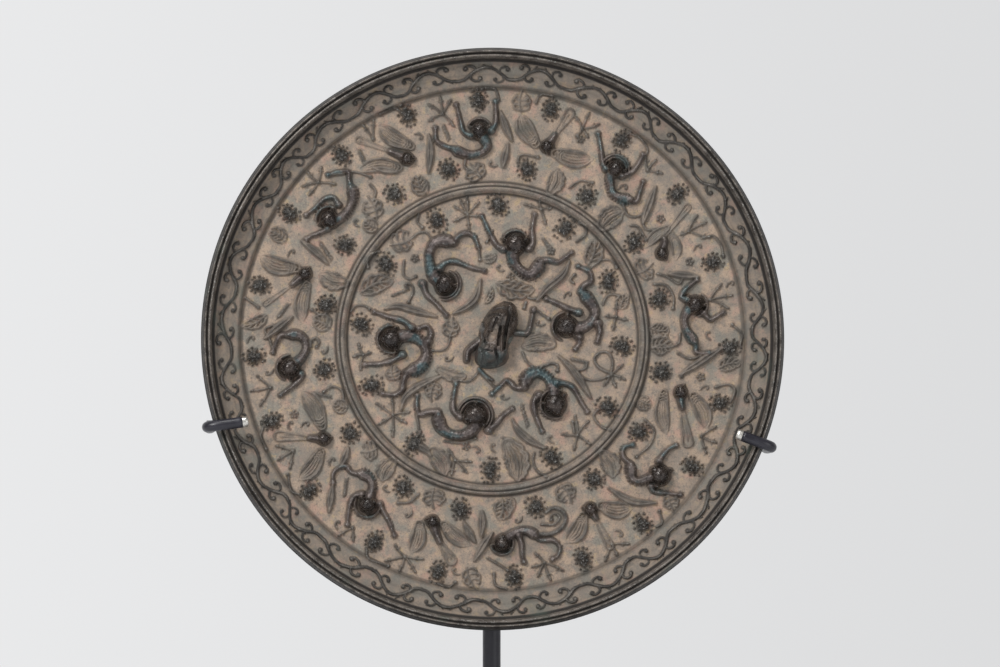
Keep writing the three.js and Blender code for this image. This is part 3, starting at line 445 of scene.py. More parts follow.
def beast_head(relief, centre, r, facing, mane, seed):
    """A beast's head seen from above: a round polished skull with a short muzzle, small eyes and
    ears, and a thin arc or two of mane beside it."""
    ahead, across = way(facing), way(facing + 90)
    relief.dome("head", centre, r, r * 0.95, facing, 5.2, power=0.5)
    relief.dome("head", centre + 0.7 * r * ahead, 0.4 * r, 0.44 * r, facing, 3.9, power=0.5)
    for s in (-1, 1):
        relief.dome("head", centre + r * (0.62 * ahead + 0.34 * s * across), 0.15 * r, 0.12 * r,
                    facing + 30 * s, 0.4, add=True)
        relief.dome("head", centre + r * (-0.4 * ahead + 0.96 * s * across), 0.26 * r, 0.18 * r,
                    facing + 180 - 50 * s, 3, power=0.45)
    for k, (share, start, end) in enumerate(mane):
        turns = np.radians(np.linspace(start, end, 13))
        arc = centre + (share + 0.02) * r * np.stack([np.cos(turns), np.sin(turns)], -1)
        relief.stroke("body", arc, 0.42, 2.2)
        if k == 0 and seed % 2:
            relief.beads("body", centre + (arc - centre) * (1 + 0.75 / (share * r)),
                         int(abs(end - start) * share * r / 80), 0.34, 1.3, add=False)


def beast(relief, figure, polar, seed):
    """One beast: a rounded back with a beaded edge, hips and shoulders, thin wrinkled limbs with
    toes, and its head."""
    head = figure["head"]
    centre, r = at(head, polar), head[2]
    back = [at(p, polar) for p in figure["body"]]
    wide = 1.72 if polar else 2.15
    shake = noise_row(8, seed)

    def breadth(s):
        return wide * (0.9 + 0.2 * np.cos(2 * np.pi * s)) * np.clip(6.5 * (1.06 - s), 0.4, 1)

    def flank(s, q):
        ribs = 0.3 * np.sin(30 * np.pi * s - 2.6 * np.abs(q)) * np.clip(np.abs(q) * 2 - 0.4, 0, 1)
        fold = 0.35 * np.clip(1 - ((q - 0.15) / 0.16) ** 2, 0, 1) * np.sin(np.pi * s)
        return (3.2 + 0.45 * np.cos(2 * np.pi * s)) * (1 - np.abs(q) ** 2.2) ** 0.5 + ribs - fold
    relief.ribbon("body", [centre] + back, breadth, flank)
    line = curve([centre] + back)
    along = np.gradient(line, axis=0)
    along /= np.linalg.norm(along, axis=1, keepdims=True)
    side = np.stack([-along[:, 1], along[:, 0]], -1)
    share = np.linspace(0, 1, len(line))[:, None]
    count = int(np.hypot(*np.diff(line, axis=0).T).sum() / 1.3)
    later = np.roll(along, -2, 0)
    turning = np.sign((along[:, 0] * later[:, 1] - along[:, 1] * later[:, 0])[2:-2].sum() or 1)
    outer = line - turning * side * (breadth(share) + 0.28)
    if seed % 2:
        relief.beads("body", outer[int(0.3 * len(outer)):], count, 0.4, 1.5, add=False)
    inner = line + turning * side * (breadth(share) - 0.6)
    relief.beads("body", inner[int(0.3 * len(inner)):], count, 0.36, 0.4)
    for k, limb in enumerate(figure["limbs"]):
        path = [at(p, polar) for p in limb]
        thick = (0.74 if polar else 0.86) + 0.07 * shake[k]

        def leg(s, thick=thick):
            return thick * (1.25 - 0.6 * s + 0.14 * np.cos(5 * np.pi * s))

        def shin(s, q):
            groove = 0.35 * np.clip(1 - (q / 0.22) ** 2, 0, 1) * np.clip(3 * s, 0, 1)
            return (2.5 - 0.7 * s) * (1 - q * q) ** 0.5 - groove
        relief.ribbon("body", path, leg, shin)
        relief.dome("body", path[0], thick * 1.8, thick * 1.5, 0, 3.1, power=0.5)
        toes = path[-1] - path[-2]
        turn = math.degrees(math.atan2(toes[1], toes[0]))
        for spread in (-50, -17, 17, 50):
            relief.dome("body", path[-1] + 0.75 * way(turn + spread), 0.66, 0.32, turn + spread, 2)
        relief.dome("body", path[-1], 0.85, 0.85, 0, 2)
        line = curve(path)
        joint = line[int(0.55 * len(line)):int(0.85 * len(line))]
        if len(joint) > 2:
            relief.comb("body", joint, 3, 1.5, -50, 0.24, 1.6)
    beast_head(relief, centre, r, head[3], figure["mane"], seed)


def ridges(phase, share):
    """Round ridges at every whole number of the phase, each this share of the gap wide."""
    off = np.abs(phase - np.round(phase)) * 2 / share
    return np.clip(1 - off * off, 0, 1) ** 0.5


def feathers(count, top, edge=0.3):
    """The height of a wing: an outline, feather lines that end one by one, and scales at the root."""
    def form(s, q):
        rim = np.clip(1 - ((np.abs(q) - 0.86) / 0.16) ** 2, 0, 1) ** 0.5
        lines = ridges(0.5 * count * q + 0.1 * np.sin(5 * s), 0.5) * (s < 1 - 0.35 * np.abs(q))
        scale = ridges(14 * s - np.abs(q), 0.55)
        return top * np.maximum(rim, np.where(s < 0.2, 0.8 * scale, 0.8 * lines)) * (1 - edge * s)
    return form


def bird(relief, figure, seed):
    """One bird: wings and tail in ridges, a round body and a small head with its beak."""
    head = figure["head"]
    centre = at(head, True)
    shake = noise_row(4, seed)
    roots = []
    for k, (root, tip, half) in enumerate(figure["wings"]):
        a, b = at(root, True), at(tip, True)
        roots.append(a)
        along = b - a
        bend = 0.5 * (a + b) + 0.09 * (1 + 0.4 * shake[k]) * np.array([-along[1], along[0]]) * (1 - 2 * k)

        def blade(s, half=half):
            return half * np.clip(0.55 + 1.5 * s - 2.05 * s**3.2, 0.12, 1.1)
        relief.ribbon("leaf", [a, bend, b], blade, feathers(6, 1.5))
    a, b = at(figure["tail"][0], True), at(figure["tail"][1], True)
    half = figure["tail"][2]
    relief.ribbon("leaf", [a, 0.5 * (a + b), b], lambda s: half * (0.45 + 0.75 * s), feathers(4, 1.4, 0.1))
    middle = 0.34 * centre + 0.33 * a + 0.33 * (0.5 * (roots[0] + roots[1]))
    along = a - centre
    turn = math.degrees(math.atan2(along[1], along[0]))
    relief.ribbon("body", [centre, middle, a], lambda s: 1.7 - 0.8 * s, lambda s,
                  q: 2.7 * (1 - q * q) ** 0.5)
    relief.beads("body", [middle, a], 4, 0.5, 0.35)
    relief.dome("head", centre, head[2] * 0.95, head[2] * 0.88, turn, 4, power=0.5)
    beak = turn + 180 + 50 * shake[2]
    relief.dome("head", centre + 0.85 * head[2] * way(beak), 1.1, 0.45, beak, 2.6)
    for s in (-1, 1):
        relief.dome("head", centre + head[2] * (0.5 * way(beak) + 0.4 * s * way(beak + 90)), 0.3, 0.3, 0,
                    0.3,
                    add=True)


def grapes(relief, centre, a, b, turn, seed):
    """A bunch: berries packed over a round core, and small loose ones apart round its edge."""
    shake = noise_row(160, seed)
    relief.dome("fruit", centre, a * 0.56, b * 0.56, turn, 2.2, power=0.4)
    ux, uy = way(turn), way(turn + 90)
    for ring, (share, count, size, top) in enumerate(((1.02, 14, 0.42, 1.3), (0.56, 8, 0.66, 2.5),
                                                      (0.2, 3, 0.8, 3.1))):
        for k in range(count):
            j = 24 * ring + k
            spin = 2 * np.pi * (k + 0.5 * ring + 0.25 * shake[j]) / count
            reach = share * (1 + 0.1 * shake[j + 72])
            spot = centre + reach * (a * math.cos(spin) * ux + b * math.sin(spin) * uy)
            radius = size * (1 + 0.16 * shake[j + 50])
            relief.dome("fruit", spot, radius, radius, 0, top, power=0.42)


def palmette(relief, places, polar, seed):
    """A vine leaf as thin rays from a hub, each with a small lobe at its end and leaflets."""
    hub = at(places[0], polar)
    shake = noise_row(32, seed)
    for k, tip in enumerate(places[1:]):
        end = at(tip, polar)
        along = end - hub
        turn = math.degrees(math.atan2(along[1], along[0]))
        length = math.hypot(*along)
        bend = 0.5 * (hub + end) + 0.35 * shake[k] * way(turn + 90)
        relief.stroke("stem", [hub, bend, end], 0.32, 1.2)
        relief.dome("stem", end - 0.1 * length * way(turn), 0.85, 0.42, turn + 8 * shake[k], 1.3, power=0.4)
        for s in (-1, 1):
            root = hub + (0.62 + 0.08 * shake[8 + k]) * (end - hub)
            relief.dome("stem", root + 0.6 * way(turn + 60 * s), 0.62, 0.28, turn + 60 * s, 0.95)
    relief.dome("stem", hub, 0.7, 0.7, 0, 1.7)


def leaf(relief, centre, length, width, turn, kind):
    """A leaf from its foot to its tip, the way of the turn: a low pad with a midrib, and either
    veins inside an outline or open lobes either side."""
    ahead, across = way(turn), way(turn + 90)
    foot, tip = centre - 0.56 * length * ahead, centre + 0.56 * length * ahead
    bow = 0.5 * (foot + tip) + 0.12 * length * across * (1 if int(7 * length) % 2 else -1)
    if kind == "lobed":
        relief.dome("leaf", centre, 0.5 * length, 0.42 * width, turn, 0.45, power=0.3)
        relief.stroke("leaf", [foot, bow, tip], 0.4, 1.25)
        for s in (-1, 1):
            for k in range(3):
                start = foot + (0.12 + 0.24 * k) * length * ahead
                size = (0.86, 1, 0.72)[k]
                lobe = [start, start + size * (0.34 * width * s * across + 0.02 * length * ahead),
                        start + size * (0.58 * width * s * across + 0.2 * length * ahead),
                        start + size * (0.4 * width * s * across + 0.36 * length * ahead),
                        start + size * (0.2 * width * s * across + 0.3 * length * ahead)]
                relief.stroke("leaf", lobe, 0.4, 1.15)
                relief.dome("leaf", lobe[3], 0.5, 0.5, 0, 1.3)
        return
    teeth = {"arch": 0.05, "veined": 0.12, "ribbed": 0.2, "toothed": 0.24}[kind]

    def outline(s):
        shape = {"arch": np.clip(1 - s**2.4, 0, 1) ** 0.5 * np.clip(s * 5, 0, 1) ** 0.5,
                 "ribbed": np.clip(np.sin(np.pi * (0.08 + 0.9 * s)), 0.02, 1) ** 0.45}.get(
                     kind, np.clip(np.sin(np.pi * s**0.85), 0.02, 1) ** 0.7)
        return 0.56 * width * shape * (1 - teeth + teeth * np.abs(np.cos(4.5 * np.pi * s)))

    def veins(s, q):
        rim = np.clip(1 - ((np.abs(q) - 0.85) / 0.16) ** 2, 0, 1) ** 0.5
        middle = np.clip(1 - (q / 0.13) ** 2, 0, 1) ** 0.5
        side = ridges(3.5 * q, 0.5) if kind == "ribbed" else ridges(5.2 * s - 1.5 * np.abs(q), 0.48)
        return 1.3 * np.maximum(np.maximum(rim, middle), 0.8 * side)
    relief.ribbon("leaf", [foot, bow, tip], outline, veins)


def spear(relief, points):
    """A shoot widest at its middle, with two ridges and a groove between them."""
    def width(s):
        return 0.35 + 1.05 * np.sin(np.pi * np.clip(s, 0, 1)) ** 1.2
    relief.ribbon("leaf", points, width, lambda s, q: 1.5 * (1 - (2 * np.abs(q) - 1) ** 2) ** 0.5 + 0.25
                  * (np.abs(q) < 0.8))


def draw_relief():
    """All the figures of both fields."""
    relief = Relief()
    for k, line in enumerate(OUTER_TENDRILS + CORE_TENDRILS):
        polar = k < len(OUTER_TENDRILS)
        path = [at(p, polar) for p in line[1:]]
        relief.ribbon("stem", path, lambda s: line[0] * (1.1 - 0.3 * s), lambda s,
                      q: 1.25 * (1 - q * q) ** 0.5)
        relief.dome("stem", path[-1], 0.75, 0.75, 0, 1.4)
    for k, line in enumerate(OUTER_FERNS + CORE_FERNS):
        path = [at(p, k < len(OUTER_FERNS)) for p in line]
        relief.stroke("stem", path, 0.25, 0.9)
        for lean in (-55, 55):
            relief.comb("stem", path if lean > 0 else path[::-1], 7, 1.1, lean, 0.24, 1.05)
    for k, place in enumerate(OUTER_ROSETTES + CORE_ROSETTES):
        spot = at(place, k < len(OUTER_ROSETTES))
        for turn in range(0, 360, 72):
            relief.dome("stem", spot + 1.05 * way(turn + 20 * k), 0.55, 0.55, 0, 1.4)
        relief.dome("stem", spot, 0.45, 0.45, 0, 1.2)
    for k, (a, b, length, width, turn, kind) in enumerate(OUTER_LEAVES):
        leaf(relief, at((a, b), True), length, width, a + turn - 90, kind)
    for a, b, length, width, turn, kind in CORE_LEAVES:
        leaf(relief, np.array([a, b]), length, width, turn, kind)
    for k, places in enumerate(OUTER_PALMETTES + CORE_PALMETTES):
        palmette(relief, places, k < len(OUTER_PALMETTES), 40 + k)
    for k, points in enumerate(OUTER_SPEARS + CORE_SPEARS):
        spear(relief, [at(p, k < len(OUTER_SPEARS)) for p in points])
    for k, (angle, radius) in enumerate(OUTER_GRAPES):
        grapes(relief, at((angle, radius), True), 3.9, 2.9, angle, 100 + k)
    for k, (angle, radius) in enumerate(INNER_GRAPES):
        grapes(relief, at((angle, radius), True), 3.7, 3.3, angle + 30, 140 + k)
    for k, (x, y, turn) in enumerate(CORE_GRAPES):
        grapes(relief, np.array([x, y]), 4.3, 3.2, turn, 180 + k)
    for k, figure in enumerate(BIRDS):
        bird(relief, figure, 220 + k)
    for k, figure in enumerate(OUTER_BEASTS):
        beast(relief, figure, True, 260 + k)
    for k, figure in enumerate(INNER_BEASTS):
        beast(relief, figure, False, 300 + k)
    for half, top, *path in KNOB_LIMBS:
        relief.ribbon("body", path, lambda s: half * (1.15 - 0.4 * s), lambda s,
                      q: top * (1 - q * q) ** 0.5)
    relief.dome("body", np.array([14.2, 10]), 1.35, 1.1, 60, 2.6)
    fillers(relief)
    return relief


def fillers(relief):
    """Small curls wherever the ground would otherwise stay bare."""
    cover = np.zeros_like(relief.layer["head"])
    for name in LAYERS:
        cover = np.maximum(cover, relief.layer[name])
    shake = np.random.default_rng(77)
    for _ in range(2600):
        reach, spin, turn = 87 * shake.random() ** 0.5, shake.uniform(0, 360), shake.uniform(0, 360)
        if 48.6 < reach < 57.4 or reach < 16 or reach > 85.6:
            continue
        spot = reach * way(spin)
        where, _, _ = relief.window(spot - 1.9, spot + 1.9)
        if cover[where].max() > 0.2:
            continue
        ahead, across = way(turn), way(turn + 90)
        relief.stroke("stem", [spot - 1.8 * ahead, spot - 0.3 * ahead + 0.6 * across, spot + 1.1 * ahead,
                               spot + 1.2 * ahead - 0.9 * across], 0.34, 1)
        relief.dome("stem", spot + 0.6 * ahead - 0.9 * across, 0.5, 0.5, 0, 1.15)
        cover[where] = 1


# ---- Profile of the mirror, and the border's scroll --------------------------------------------
RADIUS = 101.5
GROUND = 5.0
BULGE = 0.6
# Radius and height over the polished face, from the centre out to the rim's edge.
PROFILE = [(0, 5), (50.6, 5), (50.9, 5.2), (51.4, 6.3), (52, 7.1), (52.6, 7.35), (53, 7.1), (53.3, 6.65),
           (53.6, 6.75), (54, 7), (54.35, 6.6), (54.7, 5.6), (55, 5.1), (55.3, 5), (87.4, 5), (88.1, 5.5),
           (88.9, 6.6), (89.3, 6.8), (92.6, 7.5), (96, 8.9), (97.1, 9.5), (97.5, 10), (97.8, 12.4),
           (98.1, 13.8),
           (98.4, 14.25), (98.85, 14.1), (99.25, 13.3), (99.5, 13.6), (99.8, 14.7), (100.1, 14.65),
           (100.5, 14), (101, 12.8), (101.5, 11.2)]


def profile(radius):
    """Height of the plain turned form at a radius, with its corners slightly rounded."""
    r, w = np.array(PROFILE).T
    return sum(np.interp(np.clip(radius + d, 0, RADIUS), r, w) for d in (-0.1, -0.03, 0.03, 0.1)) / 4


WAVE = 12.0  # degrees to one wave of the vine
VINE = [(0, 91.1), (1.5, 91.5), (3, 93), (4.5, 94.6), (6, 95), (7.5, 94.6), (9, 93), (10.5, 91.5),
        (12, 91.1)]
# One curl of the upper hollow, either side of the trough: degrees off it and radius, then its dot.
CURL = [(3.2, 93.3), (3.5, 94.5), (3, 95.5), (2.1, 95.7), (1.55, 95.1)]
CURL_DOT = (1.7, 94.85)
SPUR = [(4.4, 94.6), (5.2, 95.9)]


def scroll_tile():
    """Heights of two waves on a grid of (radius, degrees), repeated end to end round the border:
    the vine, and in each hollow of it two curls that end in dots."""
    radii = np.linspace(88, 97, 91)
    turns = np.linspace(0, 2 * WAVE, 385)[:-1]
    mm = math.radians(1) * 92.6
    x, y = np.meshgrid(turns * mm, radii)
    tile = np.zeros(x.shape)
    shake = noise_row(64, 9)

    def draw(points, half, top):
        nonlocal tile
        path = curve([(a * mm, r) for a, r in points], 0.3)
        for a, d in zip(path, np.diff(path, axis=0)):
            t = np.clip(((x - a[0]) * d[0] + (y - a[1]) * d[1]) / (d @ d), 0, 1)
            q = np.hypot(x - a[0] - t * d[0], y - a[1] - t * d[1]) / half
            tile = np.maximum(tile, top * np.clip(1 - q * q, 0, 1) ** 0.5)
    for wave in range(-1, 4):
        draw([(a + wave * WAVE, r + 0.25 * shake[50 + i % 9]) for i, (a, r) in enumerate(VINE)], 0.6, 1.15)
        for hollow in (0, 1):
            for side in (-1, 1):
                k = 8 * (wave % 2) + 2 * hollow + (side > 0)
                def turn(a, r):
                    where = wave * WAVE + 0.5 * WAVE * hollow + side * (a + 0.25 * shake[k])
                    return where, (r if hollow == 0 else 186.1 - r) + 0.2 * shake[k + 20]
                draw([turn(*p) for p in CURL], 0.46, 0.95)
                if shake[k + 40] > -0.3:
                    draw([turn(*p) for p in SPUR], 0.3, 0.7)
                a, r = turn(*CURL_DOT)
                q = np.hypot(x - a * mm, y - r) / 0.84
                tile = np.maximum(tile, 1.2 * np.clip(1 - q * q, 0, 1) ** 0.5)
    return radii, turns, tile.astype(np.float32)


def bilinear(grid, row, column, wrap=False):
    """Values of a grid between its points, at fractional row and column numbers."""
    rows, columns = grid.shape
    row = np.clip(row, 0, rows - 1.001)
    i = row.astype(int)
    fi = row - i
    if not wrap:
        column = np.clip(column, 0, columns - 1.001)
    j = np.floor(column).astype(int)
    fj = column - j
    j0, j1 = (j % columns, (j + 1) % columns) if wrap else (j, j + 1)
    top = grid[i, j0] * (1 - fj) + grid[i, j1] * fj
    low = grid[i + 1, j0] * (1 - fj) + grid[i + 1, j1] * fj
    return top * (1 - fi) + low * fi


class Face:
    """The mirror's decorated side: height, slope and finish masks at any right and up."""

    def __init__(self, relief):
        layers = relief.layer
        total = np.zeros_like(layers["head"])
        for name in LAYERS:
            total = np.maximum(total, layers[name])
        total = np.minimum(blur(total, 0.25), 5.4)
        self.total = total
        tall = np.maximum(np.maximum(layers["head"], layers["body"]), 0.4 * layers["fruit"])
        wide, near, fine = blur(tall, 1.1), blur(total, 0.9), blur(total, 0.4)
        tight = blur(total, 0.6)
        # Painted shade with grime: darker at the foot of the tall figures and in the narrow gaps between
        # forms, where shade falls.
        self.hollow = np.clip(np.clip((wide - total - 0.15) / 1.1, 0, 0.9)
                              + np.clip((tight - total - 0.07) / 0.28, 0, 0.9), 0, 1)
        # Tops of the forms: they take the light rubbed tone, partly a painted highlight, and the painted
        # glints.
        self.crest = np.clip((total - near) / 0.7, 0, 1)
        low = {"leaf": (0.35, 0.3), "stem": (0.35, 0.4)}
        self.mask = {}
        for name in LAYERS:
            start, span = low.get(name, (0.25, 0.2))
            shown = np.clip((layers[name] - total + 0.55) * 2.2, 0, 1)
            self.mask[name] = blur(shown * np.clip((layers[name] - start) / span, 0, 1), 0.25)
        self.tile = scroll_tile()

    def scroll(self, radius, angle):
        """Height of the vine and its curls in the border, each wave a little different."""
        radii, turns, tile = self.tile
        drift = 0.6 * np.sin(np.radians(5 * angle + 40)) + 0.45 * np.sin(np.radians(13 * angle))
        shift = 0.3 * np.sin(np.radians(17 * angle)) + 0.2 * np.sin(np.radians(37 * angle + 70))
        row = (radius + shift - radii[0]) / (radii[1] - radii[0])
        column = ((angle + drift - 2) % (2 * WAVE)) / (turns[1] - turns[0])
        edge = np.clip((radius - 88.9) / 0.5, 0, 1) * np.clip((96.9 - radius) / 0.4, 0, 1)
        worn = 0.84 + 0.3 * np.sin(np.radians(41 * angle + 50)) * np.sin(np.radians(11 * angle + 10))
        return bilinear(tile, row, column, wrap=True) * edge * worn

    def sample(self, field, u, v):
        return bilinear(field, (v + HALF) / CELL, (u + HALF) / CELL)

    def height(self, u, v):
        """Height over the polished face's plane."""
        radius = np.hypot(u, v)
        inside = radius < 88.3
        angle = np.degrees(np.arctan2(v, u))
        figures = np.where(inside, self.sample(self.total, u, v), 0)
        return profile(radius) + figures + np.where(inside, 0, self.scroll(radius, angle))

    def normal(self, u, v):
        """Unit normals by small differences of the height."""
        d = 0.11
        du = (self.height(u + d, v) - self.height(u - d, v)) / (2 * d)
        dv = (self.height(u, v + d) - self.height(u, v - d)) / (2 * d)
        n = np.stack([-du, -dv, np.ones_like(du)], -1)
        return n / np.linalg.norm(n, axis=-1, keepdims=True)

    def masks(self, u, v):
        """Two colours to a point: (head, body, fruit, leaf) and (hollow, crest, stem, border)."""
        radius = np.hypot(u, v)
        inside = radius < 88.3
        angle = np.degrees(np.arctan2(v, u))
        vine = np.where(inside, 0, self.scroll(radius, angle))
        m = {n: np.where(inside, self.sample(self.mask[n], u, v), 0) for n in LAYERS}
        m["stem"] = np.where(inside, m["stem"], np.clip(vine * 2.4 - 0.2, 0, 1))
        ring = np.clip(2.3 - np.abs(radius - 52.9), 0, 1)
        step = 0.45 * np.clip(1 - ((radius - 88.4) / 1.1) ** 2, 0, 1)
        chamfer = 0.85 * np.clip((radius - 100.15) / 0.3, 0, 1)
        m["stem"] = np.maximum(np.maximum(m["stem"], 0.6 * ring), np.maximum(step, chamfer))
        # Painted shade with grime: the figures' hollows, plus dark lines in the concave corners of the
        # ring, the step and the rim; the border takes a small even share.
        hollow = np.where(inside, self.sample(self.hollow, u, v), 0.12 + 0 * vine)
        fold = profile(radius + 0.7) + profile(radius - 0.7) - 2 * profile(radius)
        tight = profile(radius + 0.35) + profile(radius - 0.35) - 2 * profile(radius)
        hollow = np.clip(hollow + np.clip(fold / 1.2, 0, 1) + np.clip(tight / 0.5, 0, 1), 0, 1)
        # Crests: the tops of the vine, and painted highlight lines along the ridges of the ring and rim.
        crest = np.where(inside, self.sample(self.crest, u, v), np.clip(vine * 1.6 - 1.3, 0, 1))
        crest = np.clip(crest + np.clip(-tight / 0.4, 0, 1) * (radius > 50) * (radius < 100.2), 0, 1)
        border = np.clip((radius - 88.2) / 0.6, 0, 1) * 0.5 + np.clip((radius - 96.9) / 0.5, 0, 1) * 0.5
        figure = np.stack([m["head"], m["body"], m["fruit"], m["leaf"]], -1)
        return figure, np.stack([hollow, crest, m["stem"], border], -1)


# ---- From the mirror's own axes to the row frame -------------------------------------------------
LEAN = math.radians(3)
CENTRE_HEIGHT = 171.0


def to_frame(points):
    """Right, up and out of the relief, in millimetres, to the row frame in metres."""
    u, v, w = np.moveaxis(np.asarray(points, float), -1, 0)
    s, c = math.sin(LEAN), math.cos(LEAN)
    return np.stack([u, v * s - w * c, CENTRE_HEIGHT + v * c + w * s], -1) * MM


def turn_to_frame(normals):
    u, v, w = np.moveaxis(np.asarray(normals, float), -1, 0)
    s, c = math.sin(LEAN), math.cos(LEAN)
    return np.stack([u, v * s - w * c, v * c + w * s], -1)


def new_mesh(name, points, faces, material, normals=None, colours=None):
    """An object at the origin with these points in metres, smooth-shaded."""
    mesh = bpy.data.meshes.new(name)
    mesh.from_pydata(points, [], faces)
    mesh.materials.append(material)
    mesh.shade_smooth()
    for key, values in (colours or {}).items():
        layer = mesh.attributes.new(key, "FLOAT_COLOR", "POINT")
        layer.data.foreach_set("color", np.ascontiguousarray(values, np.float32).ravel())
    if normals is not None:
        mesh.normals_split_custom_set_from_vertices(normals)
    mesh.update()
    obj = bpy.data.objects.new(name, mesh)
    bpy.context.scene.collection.objects.link(obj)
    return obj


def loop_faces(rows, count, open_ends=False):
    """Quads of a grid whose rows close into a loop, and whose columns do too unless the ends are
    open, where a flat cap closes each."""
    i, j = np.meshgrid(np.arange(rows), np.arange(count - open_ends), indexing="ij")
    i2, j2 = (i + 1) % rows, (j + 1) % count
    quads = np.stack([i * count + j, i2 * count + j, i2 * count + j2, i * count + j2], -1).reshape(-1, 4)
    faces = quads.tolist()
    if open_ends:
        first = np.arange(rows) * count
        faces.append(first[::-1].tolist())
        faces.append((first + count - 1).tolist())
    return faces


def underside(radius):
    """Height of the polished face: a very slight bulge with a rounded edge."""
    edge = np.clip((radius - 100.6) / 0.9, 0, 1)
    return -BULGE * (1 - (radius / RADIUS) ** 2) + 0.9 * edge**2


def ring_piece(name, face, radii, count, material, span=None, back_rows=5):
    """A ring, or a sector of one, through the whole thickness of the casting: the decorated
    surface above, the polished one below, and plain walls where it meets its neighbours."""
    turns = np.linspace(*(span or (0, 360)), count, endpoint=span is not None)
    r, a = np.meshgrid(radii, np.radians(turns), indexing="ij")
    u, v = r * np.cos(a), r * np.sin(a)
    top = np.stack([u, v, face.height(u, v)], -1)
    normal = face.normal(u, v)
    figure, relief = face.masks(u, v)
    back = np.linspace(radii[-1], radii[0], back_rows)
    r, a = np.meshgrid(back, np.radians(turns), indexing="ij")
    low = np.stack([r * np.cos(a), r * np.sin(a), underside(r)], -1)
    down = np.broadcast_to([0.0, 0.0, -1.0], low.shape)
    plain = np.zeros(low.shape[:2] + (4,))
    points = to_frame(np.concatenate([top, low]).reshape(-1, 3))
    normals = turn_to_frame(np.concatenate([normal, down]).reshape(-1, 3))
    colours = {"figure": np.concatenate([figure, plain]).reshape(-1, 4),
               "relief": np.concatenate([relief, plain]).reshape(-1, 4)}
    faces = loop_faces(len(radii) + back_rows, count, span is not None)
    return new_mesh(name, points, faces, material, normals, colours)


def core_piece(name, face, radius, side, material):
    """The round middle of the casting: a square grid of side cells wrapped onto a disc for the
    decorated surface, a wall round it and a fan of long triangles for the polished side."""
    t = np.linspace(-1, 1, side + 1)
    a, b = np.meshgrid(t, t)
    wide = np.abs(a) >= np.abs(b)
    big = np.where(wide, a, b)
    small = np.where(wide, b, a)
    angle = math.pi / 4 * small / np.where(big == 0, 1, big)
    angle = np.where(wide, angle, math.pi / 2 - angle)
    u, v = radius * big * np.cos(angle), radius * big * np.sin(angle)
    top = np.stack([u, v, face.height(u, v)], -1).reshape(-1, 3)
    normal = face.normal(u, v).reshape(-1, 3)
    figure, relief = face.masks(u, v)
    n = side + 1
    i, j = np.meshgrid(np.arange(side), np.arange(side), indexing="ij")
    quads = np.stack([i * n + j, i * n + j + 1, (i + 1) * n + j + 1, (i + 1) * n + j], -1).reshape(-1, 4)
    edge = np.concatenate([np.arange(n), np.arange(1, n) * n + side, side * n + np.arange(side - 1, -1, -1),
                           np.arange(side - 1, 0, -1) * n])
    low = np.vstack([top[edge], [[0, 0, -BULGE]]])
    low[:-1, 2] = underside(radius)
    k = np.arange(len(edge))
    wall = np.stack([edge, k + n * n, np.roll(k, -1) + n * n, np.roll(edge, -1)], -1)
    fan = np.stack([k + n * n, np.full(len(k), n * n + len(k)), np.roll(k, -1) + n * n], -1)
    faces = quads.tolist() + wall.tolist() + fan.tolist()
    down = np.broadcast_to([0.0, 0.0, -1.0], low.shape)
    plain = np.zeros((len(low), 4))
    return new_mesh(name, to_frame(np.concatenate([top, low])), faces, material,
                    turn_to_frame(np.concatenate([normal, down])),
                    {"figure": np.concatenate([figure.reshape(-1, 4), plain]),
                     "relief": np.concatenate([relief.reshape(-1, 4), plain])})


def rim_piece(name, face, count, material):
    """The rim: its inner wall, the double ridge, the side and the outer part of the back."""
    rows = [(r, None) for r in np.concatenate([np.linspace(96.9, 97.4, 4), np.linspace(97.5, 101.45, 34)])]
    rows += [(101.5, 11.4), (101.5, 8), (101.5, 4), (101.5, 1.4), (101.3, 0.55)]
    rows += [(100.9, float(underside(100.7))), (100.2, float(underside(100.2))),
             (98.4, float(underside(98.4)))]
    rows += [(96.9, float(underside(96.9)))]
    turns = np.radians(np.linspace(0, 360, count, endpoint=False))
    section = np.array([(r, float(profile(r)) if w is None else w) for r, w in rows])
    step = np.roll(section, -1, 0) - np.roll(section, 1, 0)
    step[0], step[-1] = section[1] - section[0], section[-1] - section[-2]
    slope = np.stack([-step[:, 1], step[:, 0]], -1)
    slope /= np.linalg.norm(slope, axis=1, keepdims=True)
    r = section[:, :1] + 0 * turns
    u, v = r * np.cos(turns), r * np.sin(turns)
    w = section[:, 1:] + 0.05 * np.sin(9 * turns + 0.7) * (section[:, 1:] > 11)
    points = np.stack([u, v, w], -1)
    normals = np.stack([slope[:, :1] * np.cos(turns), slope[:, :1] * np.sin(turns),
                        slope[:, 1:] + 0 * turns], -1)
    figure, relief = face.masks(u, v)
    figure, relief = 0 * figure, relief * (w > 0.3)[..., None]
    relief[..., 3] = 1.0 * (w > 0.3)
    return new_mesh(name, to_frame(points.reshape(-1, 3)), loop_faces(len(rows), count), material,
                    turn_to_frame(normals.reshape(-1, 3)),
                    {"figure": figure.reshape(-1, 4), "relief": relief.reshape(-1, 4)})


